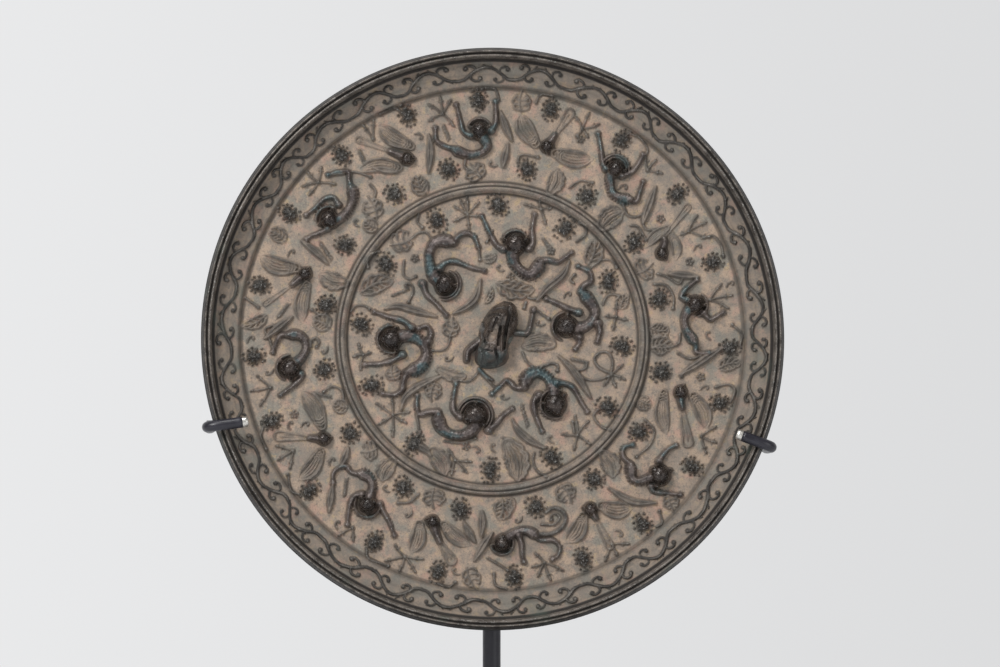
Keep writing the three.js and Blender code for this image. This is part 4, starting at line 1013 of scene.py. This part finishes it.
def tube(name, path, radius, sides, material, rounding=0.0):
    """A round bar along a path in metres, its flat ends softened by a small rounding."""
    path = np.asarray(path, float)
    tangent = np.gradient(path, axis=0)
    tangent /= np.linalg.norm(tangent, axis=1, keepdims=True)
    side = np.cross(tangent[0], [0.13, 0.21, 0.97])
    sides_of = []
    for t in tangent:
        side = side - t * (side @ t)
        side /= np.linalg.norm(side)
        sides_of.append(side)
    across = np.array(sides_of)
    over = np.cross(tangent, across)
    widths = np.full(len(path), radius)
    if rounding:
        start = [path[0] + tangent[0] * rounding * k for k in (0, 0.3)]
        end = [path[-1] - tangent[-1] * rounding * k for k in (0.3, 0)]
        path = np.vstack([start, path[1:-1], end])
        widths = np.concatenate([[radius - rounding, radius - 0.3 * rounding], widths[1:-1],
                                 [radius - 0.3 * rounding, radius - rounding]])
        across = np.vstack([across[:1], across[:1], across[1:-1], across[-1:], across[-1:]])
        over = np.vstack([over[:1], over[:1], over[1:-1], over[-1:], over[-1:]])
    turns = np.linspace(0, 2 * math.pi, sides, endpoint=False)
    ring = np.cos(turns)[None, :, None] * across[:, None] + np.sin(turns)[None, :, None] * over[:, None]
    points = (path[:, None] + ring * widths[:, None, None]).reshape(-1, 3)
    rows = len(path)
    i, j = np.meshgrid(np.arange(rows - 1), np.arange(sides), indexing="ij")
    j2 = (j + 1) % sides
    quads = np.stack([i * sides + j, i * sides + j2, (i + 1) * sides + j2, (i + 1) * sides + j], -1)
    faces = quads.reshape(-1, 4).tolist()
    faces.append(list(range(sides))[::-1])
    faces.append([(rows - 1) * sides + k for k in range(sides)])
    return new_mesh(name, points, faces, material)


# ---- The knob: a crouching beast over the cord hole ------------------------------------------------
KNOB_OUTLINE = [(4, 13.3), (7.2, 12.4), (8.6, 9.6), (8.8, 5), (7.2, 0.4), (5.4, -3.4), (5.6, -6.6),
                (3.8, -9.2),
                (0, -10.5), (-3.8, -10.2), (-6.2, -8), (-6, -4.6), (-5.2, -1.4), (-5, 2), (-3.8, 6),
                (-0.4, 10.8)]
KNOB_MIDDLE = (1.5, 1.4)
# Added forms: right, up, half length, half width, turn and height.
KNOB_FORMS = [(2.6, 7, 6.8, 4.4, 64, 2.5), (-1.8, -6.2, 4.4, 3.6, 70, 1.9), (3.2, -6.8, 2.6, 2, 30, 1.6),
              (-0.4, 0.7, 2.6, 1.7, 60, -1.3), (2.1, 5.6, 1.7, 0.7, 62, 0.7), (3.6, 8, 1.2, 0.7, 30, 0.7),
              (-1.6, 5.2, 2.8, 1.3, 62, 0.6), (6.8, 7, 3.2, 1.4, 80, -1.2), (-2.6, -3.4, 1.6, 1.1, 40, 0.7),
              (0.4, -2.6, 1.2, 0.9, 10, 0.6)]
# Ridges and grooves: half width and height, then the path.
KNOB_LINES = [(0.7, -1.9, (5.6, 10.6), (5.4, 7), (4.6, 3.4), (4, -0.4), (3.7, -3.6)),
              (0.5, 1, (3.4, 3.8), (2.9, 0), (2.8, -4.4)),
              (0.6, -1.3, (2.5, 3.6), (2, 0.6), (1.7, -2.4)),
              (0.6, -1.2, (-3.3, 3.6), (-3.7, 0.8), (-2.7, -1.6)),
              (0.5, 0.9, (-2, 2.8), (-3, 0.8), (-3.6, -1.4)),
              (0.65, -1.5, (0.8, -4.2), (1.4, -6.8), (1, -9.8)),
              (0.5, -1, (-4.6, -3.4), (-3.4, -6), (-4, -9)), (0.5, -0.9, (1.2, 6.8), (0.2, 4), (-0.4, 2.4)),
              (0.4, 0.7, (0.4, 11), (3.4, 12.4), (6.2, 11.6)),
              (0.4, -0.9, (-0.6, 9.4), (2.2, 10.4), (5, 10.2)),
              (0.4, -0.8, (-5.2, -5.4), (-2.6, -4.4), (-0.4, -4.7)),
              (0.4, 0.7, (1.6, -5.2), (3.2, -4.8), (4.6, -5.6)),
              (0.35, 0.6, (6, 11.4), (7, 10.6)), (0.35, 0.6, (6.4, 9.8), (7.6, 9)),
              (0.35, 0.6, (6.4, 8), (7.8, 7.4)),
              (0.35, 0.6, (6.2, 6), (7.6, 5.4)), (0.35, -0.8, (-1.8, 7.4), (0.2, 8.2), (2.2, 7.6))]
KNOB_HOLE = {"diameter": 3.4, "height": 3.4, "turn": 65}


def knob_parts(u, v, outline):
    """Height, groove depth and share of the worn patch of the knob at arrays of right and up."""
    angle = np.arctan2(v - KNOB_MIDDLE[1], u - KNOB_MIDDLE[0])
    share = np.hypot(u - KNOB_MIDDLE[0], v - KNOB_MIDDLE[1]) / np.interp(angle, *outline,
        period=2 * math.pi)
    rise = 7 * np.clip(1 - share**3, 0, 1) ** 0.5
    cut = np.zeros_like(u)
    for x, y, a, b, turn, height in KNOB_FORMS:
        ux, uy = way(turn)
        right, up = u - x, v - y
        d = ((right * ux + up * uy) / a) ** 2 + ((up * ux - right * uy) / b) ** 2
        rise = rise + height * np.clip(1 - d, 0, 1) ** 0.8 * np.clip(2.6 * (1 - share), 0, 1)
    for half, height, *points in KNOB_LINES:
        path = curve(points, 0.5)
        best = np.full(u.shape, 1e9)
        for a, d in zip(path, np.diff(path, axis=0)):
            t = np.clip(((u - a[0]) * d[0] + (v - a[1]) * d[1]) / (d @ d), 0, 1)
            best = np.minimum(best, np.hypot(u - a[0] - t * d[0], v - a[1] - t * d[1]))
        form = np.clip(1 - (best / half) ** 2, 0, 1)
        rise = rise + height * form * np.clip(3 * (1 - share), 0, 1)
        cut = np.maximum(cut, form * (height < 0))
    patch = np.clip(1 - ((u - 0.2) / 1.9) ** 2 - ((v - 1.4 - 0.9 * (u - 0.2)) / 3) ** 2, 0, 1)
    return np.minimum(rise, 9.55), cut, patch


def knob_piece(name, rows, count, material):
    """The knob as a polar grid inside its outline, closed below, with the cord hole cut through."""
    line = curve(KNOB_OUTLINE + KNOB_OUTLINE[:1], 0.3)
    off = line - KNOB_MIDDLE
    angles = np.arctan2(off[:, 1], off[:, 0])
    order = np.argsort(angles)
    outline = angles[order], np.hypot(*off[order].T)
    turns = np.linspace(0, 2 * math.pi, count, endpoint=False)
    reach = np.interp(turns, *outline, period=2 * math.pi)
    share = np.sin(np.linspace(0.5 * math.pi / rows, 0.5 * math.pi, rows))
    u = KNOB_MIDDLE[0] + share[:, None] * reach * np.cos(turns)
    v = KNOB_MIDDLE[1] + share[:, None] * reach * np.sin(turns)

    def height(u, v):
        return GROUND + knob_parts(u, v, outline)[0]
    w = height(u, v)
    d = 0.06
    du, dv = (height(u + d, v) - height(u - d, v)) / (2 * d), (height(u, v + d) - height(u, v - d)) / (2
        * d)
    normal = np.stack([-du, -dv, np.ones_like(du)], -1)
    normal /= np.linalg.norm(normal, axis=-1, keepdims=True)
    _, cut, patch = knob_parts(u, v, outline)
    middle = np.array([[*KNOB_MIDDLE, height(np.array(KNOB_MIDDLE[0]), np.array(KNOB_MIDDLE[1]))]])
    foot = np.stack([u[-1], v[-1], np.full(count, GROUND - 0.7)], -1)
    under = np.array([[*KNOB_MIDDLE, GROUND - 0.7]])
    points = np.concatenate([np.stack([u, v, w], -1).reshape(-1, 3), foot, middle, under])
    size = rows * count
    i, j = np.meshgrid(np.arange(rows), np.arange(count), indexing="ij")
    j2 = (j + 1) % count
    faces = np.stack([i * count + j, (i + 1) * count + j, (i + 1) * count + j2, i * count + j2],
                     -1).reshape(-1, 4).tolist()
    k = np.arange(count)
    faces += np.stack([np.full(count, size + count), k, np.roll(k, -1)], -1).tolist()
    faces += np.stack([np.full(count, size + count + 1), size + np.roll(k, -1), size + k], -1).tolist()
    worn = np.concatenate([patch.ravel(), np.zeros(count + 2)])
    cut = np.concatenate([cut.ravel(), np.zeros(count + 2)])
    low = np.concatenate([np.clip(0.2 - v / 5, 0, 1).ravel(), np.zeros(count + 2)])
    figure = np.stack([(0.85 - 0.5 * low) * (1 - worn), (0.3 + 0.6 * low) * (1 - worn), 0 * worn,
                       0.3 * worn], -1)
    # The knob's grooves take painted shade with grime; its whole surface takes a share of the crest mask,
    # for the light rubbed tone and painted glints, more on the worn patch.
    relief = np.stack([0.8 * cut, 0.25 + 0.3 * worn, 0 * cut, 0 * cut], -1)
    knob = new_mesh(name, to_frame(points), faces, material, None, {"figure": figure, "relief": relief})
    across = KNOB_HOLE["turn"] + 90
    level = GROUND + KNOB_HOLE["height"]
    ends = [(*(np.array(KNOB_MIDDLE) + s * 16 * way(across)), level) for s in (-1, 1)]
    drill = tube(name + "_drill", to_frame(np.linspace(*ends, 9)), 0.5 * KNOB_HOLE["diameter"] * MM, 40,
                 material)
    cutter = knob.modifiers.new("Cord hole", "BOOLEAN")
    cutter.object, cutter.solver = drill, "EXACT"
    bpy.context.view_layer.update()
    done = bpy.data.meshes.new_from_object(knob.evaluated_get(bpy.context.evaluated_depsgraph_get()))
    knob.modifiers.clear()
    knob.data = done
    bpy.data.objects.remove(drill)
    return knob


# ---- Materials --------------------------------------------------------------------------------
class Nodes:
    """Short ways to add nodes to a tree and join them up."""

    def __init__(self, tree):
        self.tree = tree

    def add(self, kind, inputs=None, **settings):
        node = self.tree.nodes.new(kind)
        for key, value in settings.items():
            setattr(node, key, value)
        for key, value in (inputs or {}).items():
            self.feed(node.inputs[key], value)
        return node

    def feed(self, socket, value):
        if isinstance(value, bpy.types.NodeSocket):
            self.tree.links.new(value, socket)
        elif isinstance(value, (tuple, list)) and len(value) == 3 and socket.type == "RGBA":
            socket.default_value = (*value, 1)
        else:
            socket.default_value = value

    def math(self, operation, a, b=0.0, clamp=False):
        return self.add("ShaderNodeMath", {0: a, 1: b}, operation=operation, use_clamp=clamp).outputs[0]

    def mix(self, share, a, b, blend="MIX"):
        node = self.add("ShaderNodeMix", data_type="RGBA", blend_type=blend)
        for socket, value in ((node.inputs[0], share), (node.inputs[6], a), (node.inputs[7], b)):
            self.feed(socket, value)
        return node.outputs[2]

    def blend(self, share, a, b):
        node = self.add("ShaderNodeMix", data_type="FLOAT")
        for socket, value in ((node.inputs[0], share), (node.inputs[2], a), (node.inputs[3], b)):
            self.feed(socket, value)
        return node.outputs[0]

    def noise(self, size, detail=3.0, rough=0.55, shift=0.0):
        """Noise with features of about this many millimetres, fixed to the object."""
        where = self.add("ShaderNodeTexCoord").outputs["Object"]
        moved = self.add("ShaderNodeVectorMath", {0: where, 1: (shift, shift * 0.7, -shift)},
                         operation="ADD")
        node = self.add("ShaderNodeTexNoise", {"Vector": moved.outputs[0], "Scale": 1000 / size,
                                               "Detail": detail, "Roughness": rough})
        return node.outputs["Fac"]

    def steps(self, value, low, high, first=0.0, last=1.0):
        """value from low to high brought to first to last, smoothly."""
        return self.add("ShaderNodeMapRange", {"Value": value, "From Min": low, "From Max": high,
                                               "To Min": first, "To Max": last},
                        interpolation_type="SMOOTHSTEP").outputs[0]

    def bump(self, height, strength, distance):
        return self.add("ShaderNodeBump", {"Height": height, "Strength": strength,
                                           "Distance": distance}).outputs[0]


def new_material(name):
    material = bpy.data.materials.new(name)
    material.use_nodes = True
    return material, Nodes(material.node_tree), material.node_tree.nodes["Principled BSDF"]


def group_of(name, outputs):
    """An empty node group with these outputs: (name, socket type)."""
    tree = bpy.data.node_groups.new(name, "ShaderNodeTree")
    for label, kind in outputs:
        tree.interface.new_socket(name=label, in_out="OUTPUT", socket_type=kind)
    return Nodes(tree), tree.nodes.new("NodeGroupOutput")


def patina_group():
    """Patina of old buried bronze: mottled tan ground, dark heads and fruit, blue-green bodies,
    grey leaves, painted shade with grime in the hollows, a light rubbed tone on the crests, partly
    worn metal and partly a painted highlight, and painted glints on the raised crests."""
    n, out = group_of("Bronze patina", [("Colour", "NodeSocketColor"), ("Roughness", "NodeSocketFloat"),
                                        ("Metal", "NodeSocketFloat"), ("Normal", "NodeSocketVector")])
    figure = n.add("ShaderNodeAttribute", attribute_name="figure")
    relief = n.add("ShaderNodeAttribute", attribute_name="relief")
    part = n.add("ShaderNodeSeparateColor", {0: figure.outputs["Color"]})
    head, body, fruit = part.outputs
    leafy = figure.outputs["Alpha"]
    form = n.add("ShaderNodeSeparateColor", {0: relief.outputs["Color"]})
    hollow, crest, stem = form.outputs
    border = relief.outputs["Alpha"]
    speck, patch, cloud = n.noise(1.1, 4), n.noise(3.4, 4, 0.62, shift=0.3), n.noise(15, 3, shift=0.7)
    fine = n.noise(0.5, 2, 0.7, shift=0.5)
    ground = n.mix(n.steps(patch, 0.4, 0.62), (0.25, 0.2, 0.158), (0.37, 0.275, 0.2))
    ground = n.mix(n.steps(n.noise(5.2, 3, shift=1.3), 0.53, 0.7, 0, 0.8), ground, (0.4, 0.252, 0.19))
    ground = n.mix(n.steps(n.noise(6.4, 3, shift=1.1), 0.5, 0.66, 0, 0.8), ground, (0.2, 0.19, 0.16))
    ground = n.mix(n.steps(n.noise(2.6, 3, shift=1.9), 0.58, 0.72, 0, 0.7), ground, (0.4, 0.295, 0.17))
    ground = n.mix(n.steps(speck, 0.46, 0.3, 0, 0.6), ground, (0.13, 0.11, 0.092))
    ground = n.mix(n.steps(fine, 0.48, 0.3, 0, 0.55), ground, (0.11, 0.093, 0.078))
    ground = n.mix(n.steps(fine, 0.56, 0.72, 0, 0.4), ground, (0.46, 0.385, 0.31))
    ground = n.mix(n.steps(cloud, 0.5, 0.75, 0, 0.5), ground, (0.15, 0.142, 0.125))
    beasts = n.mix(n.steps(patch, 0.4, 0.64), (0.05, 0.038, 0.036), (0.12, 0.094, 0.086))
    teal = n.mix(n.steps(speck, 0.4, 0.66), (0.024, 0.046, 0.052), (0.075, 0.115, 0.12))
    beasts = n.mix(n.steps(n.noise(8, 2, shift=2.2), 0.49, 0.6), beasts, teal)
    heads = n.mix(n.steps(patch, 0.42, 0.68), (0.018, 0.013, 0.011), (0.055, 0.041, 0.034))
    grapes_colour = n.mix(n.steps(speck, 0.4, 0.66), (0.032, 0.03, 0.028), (0.09, 0.085, 0.078))
    leaves = n.mix(n.steps(patch, 0.4, 0.64), (0.085, 0.074, 0.064), (0.17, 0.142, 0.117))
    stems = n.mix(n.steps(patch, 0.4, 0.64), (0.022, 0.019, 0.016), (0.055, 0.048, 0.041))
    edge = n.mix(n.steps(patch, 0.4, 0.66), (0.034, 0.027, 0.023), (0.095, 0.075, 0.063))
    outer = n.steps(border, 0.5, 1)
    colour = n.mix(n.math("MULTIPLY", n.steps(border, 0.1, 0.5), 0.42), ground, (0.12, 0.11, 0.094))
    colour = n.mix(outer, colour, edge)
    # Painted shade with grime: the hollows darken, broken up a little by fine noise.
    dirt_and_shade = n.math("MULTIPLY", hollow, n.steps(fine, 0.2, 0.62, 0.7, 1.0), clamp=True)
    colour = n.mix(n.math("MULTIPLY", dirt_and_shade, 0.82), colour, (0.028, 0.023, 0.019))
    for mask, tone in ((stem, stems), (leafy, leaves), (fruit, grapes_colour), (body, beasts),
                       (head, heads)):
        colour = n.mix(mask, colour, tone)
    raised = n.math("MAXIMUM", n.math("MAXIMUM", head, body),
                    n.math("MAXIMUM", fruit, n.math("MAXIMUM", stem, outer)))
    # Painted shade: the hollows on raised figures darken further, nearly to black.
    inner = n.math("MULTIPLY", dirt_and_shade, raised)
    colour = n.mix(n.math("MULTIPLY", inner, 0.85), colour, (0.014, 0.011, 0.009))
    # Light rubbed tone on the crests of bodies, stems and rim: partly worn bronze, partly a painted
    # highlight.
    wear_and_sheen = n.math("MULTIPLY", crest, n.steps(patch, 0.3, 0.62, 0.2, 1))
    bare = n.math("MAXIMUM", n.math("MULTIPLY", body, 0.4),
                  n.math("MAXIMUM", n.math("MULTIPLY", outer, 0.6), n.math("MULTIPLY", stem, 0.7)))
    wear_and_sheen = n.math("MULTIPLY", wear_and_sheen, bare)
    colour = n.mix(n.math("MULTIPLY", wear_and_sheen, 0.6), colour, (0.33, 0.295, 0.255))
    # Painted glints: pale specks on the raised crests.
    painted_glint = n.math("MULTIPLY", n.math("MULTIPLY", crest, raised), n.steps(fine, 0.56, 0.66))
    colour = n.mix(n.math("MULTIPLY", painted_glint, 0.55), colour, (0.5, 0.49, 0.46))
    green = n.steps(n.noise(24, 2, shift=2.6), 0.58, 0.7, 0, 0.55)
    colour = n.mix(n.math("MULTIPLY", green, border), colour, (0.055, 0.08, 0.062))
    gloss = n.math("MAXIMUM", head, n.math("MULTIPLY", fruit, 0.85))
    rough = n.blend(n.math("MULTIPLY", n.math("MAXIMUM", body, outer), 0.8), 0.66, 0.36)
    rough = n.blend(gloss, rough, 0.2)
    rough = n.math("ADD", rough, n.steps(fine, 0.3, 0.7, -0.05, 0.12))
    rough = n.blend(n.math("MULTIPLY", dirt_and_shade, 0.8), rough, 0.85)
    metal = n.math("MAXIMUM", n.math("MAXIMUM", head, body), n.math("MAXIMUM", fruit, outer))
    metal = n.math("MULTIPLY", n.blend(metal, 0.04, 0.4), n.math("SUBTRACT", 1.0, dirt_and_shade))
    grain = n.math("ADD", n.math("MULTIPLY", speck, 0.7), n.math("MULTIPLY", fine, 0.5))
    for key, value in (("Colour", colour), ("Roughness", rough), ("Metal", metal),
                       ("Normal", n.bump(grain, 0.7, 0.00025))):
        n.feed(out.inputs[key], value)
    return n.tree


def bronze_material(name, tone=(1.0, 1.0, 1.0)):
    """Old bronze: the patina group's colour, roughness, metal and grain."""
    material, n, shader = new_material(name)
    tree = bpy.data.node_groups.get("Bronze patina") or patina_group()
    patina = n.add("ShaderNodeGroup", node_tree=tree)
    n.feed(shader.inputs["Base Color"], n.mix(1.0, patina.outputs["Colour"], tone, "MULTIPLY"))
    n.feed(shader.inputs["Roughness"], patina.outputs["Roughness"])
    n.feed(shader.inputs["Metallic"], patina.outputs["Metal"])
    n.feed(shader.inputs["Normal"], patina.outputs["Normal"])
    return material


def paint_material():
    """Satin blue-black paint on steel, with faint streaks, dust and a few rubbed specks."""
    material, n, shader = new_material("Black paint")
    streak = n.noise(6, 4, shift=3.2)
    speck = n.noise(0.5, 2, shift=3.9)
    colour = n.mix(n.steps(streak, 0.35, 0.7), (0.012, 0.011, 0.017), (0.022, 0.021, 0.03))
    colour = n.mix(n.steps(speck, 0.66, 0.74, 0, 0.4), colour, (0.07, 0.067, 0.065))
    n.feed(shader.inputs["Base Color"], colour)
    n.feed(shader.inputs["Roughness"], n.steps(streak, 0.3, 0.7, 0.3, 0.44))
    n.feed(shader.inputs["Normal"], n.bump(n.math("ADD", streak, n.math("MULTIPLY", speck, 0.3)), 0.25,
                                           0.0002))
    return material


def felt_material():
    """Dark felt: short fibres in every direction."""
    material, n, shader = new_material("Dark felt")
    fibre = n.noise(0.35, 4, 0.75, shift=4.4)
    n.feed(shader.inputs["Base Color"], n.mix(n.steps(fibre, 0.35, 0.7), (0.006, 0.006, 0.008),
                                              (0.03, 0.03, 0.034)))
    shader.inputs["Roughness"].default_value = 0.95
    n.feed(shader.inputs["Normal"], n.bump(fibre, 0.7, 0.0004))
    return material


def bare_material():
    """Bare cut metal at the ends of the wire: pale, with file marks."""
    material, n, shader = new_material("Bare cut metal")
    marks = n.noise(0.25, 2, shift=5.1)
    n.feed(shader.inputs["Base Color"], n.mix(marks, (0.5, 0.48, 0.44), (0.75, 0.73, 0.68)))
    shader.inputs["Metallic"].default_value = 0.9
    n.feed(shader.inputs["Roughness"], n.steps(marks, 0.3, 0.7, 0.28, 0.42))
    n.feed(shader.inputs["Normal"], n.bump(marks, 0.3, 0.0001))
    return material


def stage_material(name, colour, rough):
    material, n, shader = new_material(name)
    shade = n.noise(60, 2, shift=6)
    dark = tuple(0.985 * c for c in colour)
    n.feed(shader.inputs["Base Color"], n.mix(shade, dark, colour))
    shader.inputs["Roughness"].default_value = rough
    return material


# ---- Pieces of the object ------------------------------------------------------------------------
def belongs(obj, node):
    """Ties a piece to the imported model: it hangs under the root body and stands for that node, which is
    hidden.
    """
    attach(obj, "root")
    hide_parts(node)
    return obj


def build_mirror(options):
    """The casting in rings and sectors that fit edge to edge."""
    face = Face(draw_relief())
    fine = options.density
    bronze = bronze_material("Old bronze")
    pieces = [core_piece("mirror_middle", face, 27.5, int(250 * fine), bronze),
              ring_piece("mirror_inner_field", face, np.linspace(27.5, 50.6, int(80 * fine)),
                         int(1100 * fine), bronze),
              ring_piece("mirror_ring", face, np.linspace(50.6, 55.4, int(28 * fine)), int(720 * fine),
                         bronze)]
    for k in range(3):
        pieces.append(ring_piece(f"mirror_outer_field_{k + 1}", face,
                                 np.linspace(55.4, 88.2, int(108 * fine)),
                                 int(580 * fine), bronze, (120 * k, 120 * k + 120)))
    pieces.append(ring_piece("mirror_scroll_border", face, np.linspace(88.2, 96.9, int(32 * fine)),
                             int(1500 * fine), bronze))
    pieces.append(rim_piece("mirror_rim_and_edge", face, 480, bronze))
    pieces.append(knob_piece("mirror_knob", 80, 240, bronze))
    for piece in pieces:
        belongs(piece, "mirror")


WIRE = 3.8
HOOKS = ((197.4, (-84.8, -29.2)), (-21.6, (84.2, -33.6)))
RIM_TOP = 14.8


def cradle_path():
    """The wire's centre line: over the rim at both sides and across behind the mirror."""
    outside, front, behind = RADIUS + 0.4 + WIRE / 2, RIM_TOP + 0.4 + WIRE / 2, -BULGE - 0.4 - WIRE / 2
    sides = []
    for angle, tip in HOOKS:
        edge, tip = outside * way(angle), np.array(tip)
        arm = math.hypot(*(tip - edge))
        points = [(*(edge + inset / arm * (tip - edge)), depth) for inset, depth in (
            (arm, front - 0.4), (arm - 4.4, front), (3.1, front), (0.8, front - 0.8), (0, front - 3.4),
            (0, front / 2), (0, behind + 3))]
        points += [(*((outside - inset) * way(angle)), depth) for inset,
                   depth in ((0.8, behind + 0.8), (3.4, behind))]
        sides.append(points)
    middle = [(-50, -31, behind), (0, -32.6, behind), (50, -35, behind)]
    return to_frame(curve(sides[0] + middle + sides[1][::-1], 0.9))


def build_stand():
    """The wire cradle with its bare cut ends, the round post, the pad and the foot plate."""
    paint, felt, bare = paint_material(), felt_material(), bare_material()
    path = cradle_path()
    wire = tube("cradle_wire", path[2:-2], 0.5 * WIRE * MM, 24, paint)
    belongs(wire, "cradle")
    for name, part in (("cradle_left_end", path[:4][::-1]), ("cradle_right_end", path[-4:])):
        belongs(tube(name, part, (0.5 * WIRE - 0.03) * MM, 24, bare, rounding=0.0004), "cradle")
    low, high = (np.array(c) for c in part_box("post"))
    middle = 0.5 * (low + high)
    heights = np.linspace(low[2], high[2], 30)
    line = np.stack([np.full(30, middle[0]), np.full(30, middle[1]), heights], -1)
    belongs(tube("stand_post", line, 0.5 * (high[0] - low[0]), 48, paint, rounding=0.0005), "post")
    belongs(cushion("stand_pad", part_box("pad"), felt), "pad")
    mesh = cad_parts["foot"].data
    mesh.materials.clear()
    mesh.materials.append(paint)


def cushion(name, box, material, across=24):
    """A small felt pad in a box: a block with rounded edges and corners."""
    low, high = (np.array(c) for c in box)
    t = np.linspace(-1, 1, across)
    a, b = np.meshgrid(t, t, indexing="ij")
    one = np.ones_like(a)
    sides = []
    for axis in range(3):
        for s in (-1, 1):
            square = [None, None, None]
            square[axis] = s * one
            square[(axis + 1) % 3], square[(axis + 2) % 3] = (a, b) if s > 0 else (b, a)
            sides.append(np.stack(square, -1))
    points = np.concatenate([s.reshape(-1, 3) for s in sides])
    size = 0.5 * (high - low)
    corner = 0.7 * MM
    inner = size - corner
    scaled = points * size
    core = np.clip(scaled, -inner, inner)
    off = scaled - core
    length = np.linalg.norm(off, axis=1, keepdims=True)
    scaled = core + off / np.maximum(length, 1e-9) * np.minimum(length, corner)
    n = across
    i, j = np.meshgrid(np.arange(n - 1), np.arange(n - 1), indexing="ij")
    quad = np.stack([i * n + j, (i + 1) * n + j, (i + 1) * n + j + 1, i * n + j + 1], -1).reshape(-1, 4)
    faces = np.concatenate([quad + k * n * n for k in range(6)]).tolist()
    pad = new_mesh(name, 0.5 * (low + high) + scaled, faces, material)
    shape = bmesh.new()
    shape.from_mesh(pad.data)
    bmesh.ops.remove_doubles(shape, verts=shape.verts, dist=1e-6)
    bmesh.ops.recalc_face_normals(shape, faces=shape.faces)
    shape.to_mesh(pad.data)
    shape.free()
    return pad


def build_stage(options):
    """Table top, pale studio surroundings, lamps and the camera."""
    table = new_mesh("Table", [(-1.2, -1.2, 0), (1.2, -1.2, 0), (1.2, 0.5, 0), (-1.2, 0.5, 0)],
                     [(0, 1, 2, 3)],
                     stage_material("Pale table", (0.8, 0.81, 0.83), 0.8))
    bpy.context.scene.view_settings.view_transform = "Standard"
    world = bpy.data.worlds.new("Pale studio")
    world.use_nodes = True
    bpy.context.scene.world = world
    n = Nodes(world.node_tree)
    toward = n.add("ShaderNodeSeparateXYZ", {0: n.add("ShaderNodeTexCoord").outputs["Generated"]})
    behind = n.steps(toward.outputs["Y"], -0.1, 0.8, options.front_glow, 1.0)
    across = n.steps(toward.outputs["X"], -0.3, 0.3, 0.86, 0.71)
    glow = n.math("MULTIPLY", behind, across)
    shader = world.node_tree.nodes["Background"]
    n.feed(shader.inputs[0], n.mix(1.0, (0.985, 0.99, 1.0), glow, "MULTIPLY"))
    for name, place, size, power in (
            ("Key lamp", (-0.7, -0.95, 0.85), 0.28, options.key_power),
            ("Fill lamp", (0.85, -0.9, 0.35), 0.6, options.key_power * 0.22),
            ("Top lamp", (-0.1, -0.35, 1.1), 0.4, options.key_power * 0.35)):
        light = bpy.data.lights.new(name, "AREA")
        light.energy, light.size = power, size
        lamp = bpy.data.objects.new(name, light)
        bpy.context.scene.collection.objects.link(lamp)
        lamp.location = place
        lamp.rotation_euler = (Vector((0, 0, 0.17)) - Vector(place)).to_track_quat("-Z", "Y").to_euler()
    camera = bpy.data.cameras.new("Camera")
    camera.sensor_fit, camera.sensor_width = "HORIZONTAL", 36
    distance, width = 1.25, 0.3494
    camera.lens = 36 * distance / width
    view = bpy.data.objects.new("Camera", camera)
    bpy.context.scene.collection.objects.link(view)
    turn = math.radians(options.view_turn)
    aim = Vector(to_frame([0, 0, 6]))
    view.location = aim + distance * Vector((math.sin(turn), -math.cos(turn), 0))
    view.rotation_euler = (math.pi / 2, 0, turn)
    camera.shift_x, camera.shift_y = 0.0072, 0.0051
    bpy.context.scene.camera = view


# ---- Settings, operators and panel ---------------------------------------------------------------
class MirrorOptions(bpy.types.PropertyGroup):
    density: bpy.props.FloatProperty(name="Mesh density",
                                     description="Share of the full number of points across the relief",
                                     default=1.0, min=0.2, max=1.0)


class StageOptions(bpy.types.PropertyGroup):
    view_turn: bpy.props.FloatProperty(name="View",
                                       description="How far the camera stands to the right, in degrees",
                                       default=-1.5)
    front_glow: bpy.props.FloatProperty(name="Front glow",
                                        description="Light from the room in front, as a share of that behind", default=0.42, min=0.0)
    key_power: bpy.props.FloatProperty(name="Key lamp", description="Power of the main lamp", default=11.0,
                                       min=0.0, unit="POWER")


class MIRROR_OT_casting(bpy.types.Operator):
    """Build the bronze casting with its relief"""

    bl_idname = "mirror.casting"
    bl_label = "Build mirror"

    def execute(self, context):
        build_mirror(context.scene.mirror_options)
        return {"FINISHED"}


class MIRROR_OT_stand(bpy.types.Operator):
    """Build the display stand"""

    bl_idname = "mirror.stand"
    bl_label = "Build stand"

    def execute(self, context):
        build_stand()
        return {"FINISHED"}


class MIRROR_OT_stage(bpy.types.Operator):
    """Build the floor, the lamps and the camera"""

    bl_idname = "mirror.stage"
    bl_label = "Build stage"

    def execute(self, context):
        build_stage(context.scene.mirror_stage)
        return {"FINISHED"}


class MIRROR_PT_panel(bpy.types.Panel):
    bl_label = "Bronze mirror"
    bl_space_type = "VIEW_3D"
    bl_region_type = "UI"
    bl_category = "Mirror"

    def draw(self, context):
        layout = self.layout
        layout.prop(context.scene.mirror_options, "density")
        layout.prop(context.scene.mirror_stage, "key_power")
        for name in ("mirror.casting", "mirror.stand", "mirror.stage"):
            layout.operator(name)


CLASSES = (MirrorOptions, StageOptions, MIRROR_OT_casting, MIRROR_OT_stand, MIRROR_OT_stage,
           MIRROR_PT_panel)


def register():
    for item in CLASSES:
        bpy.utils.register_class(item)
    bpy.types.Scene.mirror_options = bpy.props.PointerProperty(type=MirrorOptions)
    bpy.types.Scene.mirror_stage = bpy.props.PointerProperty(type=StageOptions)


def unregister():
    del bpy.types.Scene.mirror_stage
    del bpy.types.Scene.mirror_options
    for item in reversed(CLASSES):
        bpy.utils.unregister_class(item)


def main():
    register()
    bpy.ops.mirror.casting()
    bpy.ops.mirror.stand()
    bpy.ops.mirror.stage()


if __name__ == "__main__":
    main()
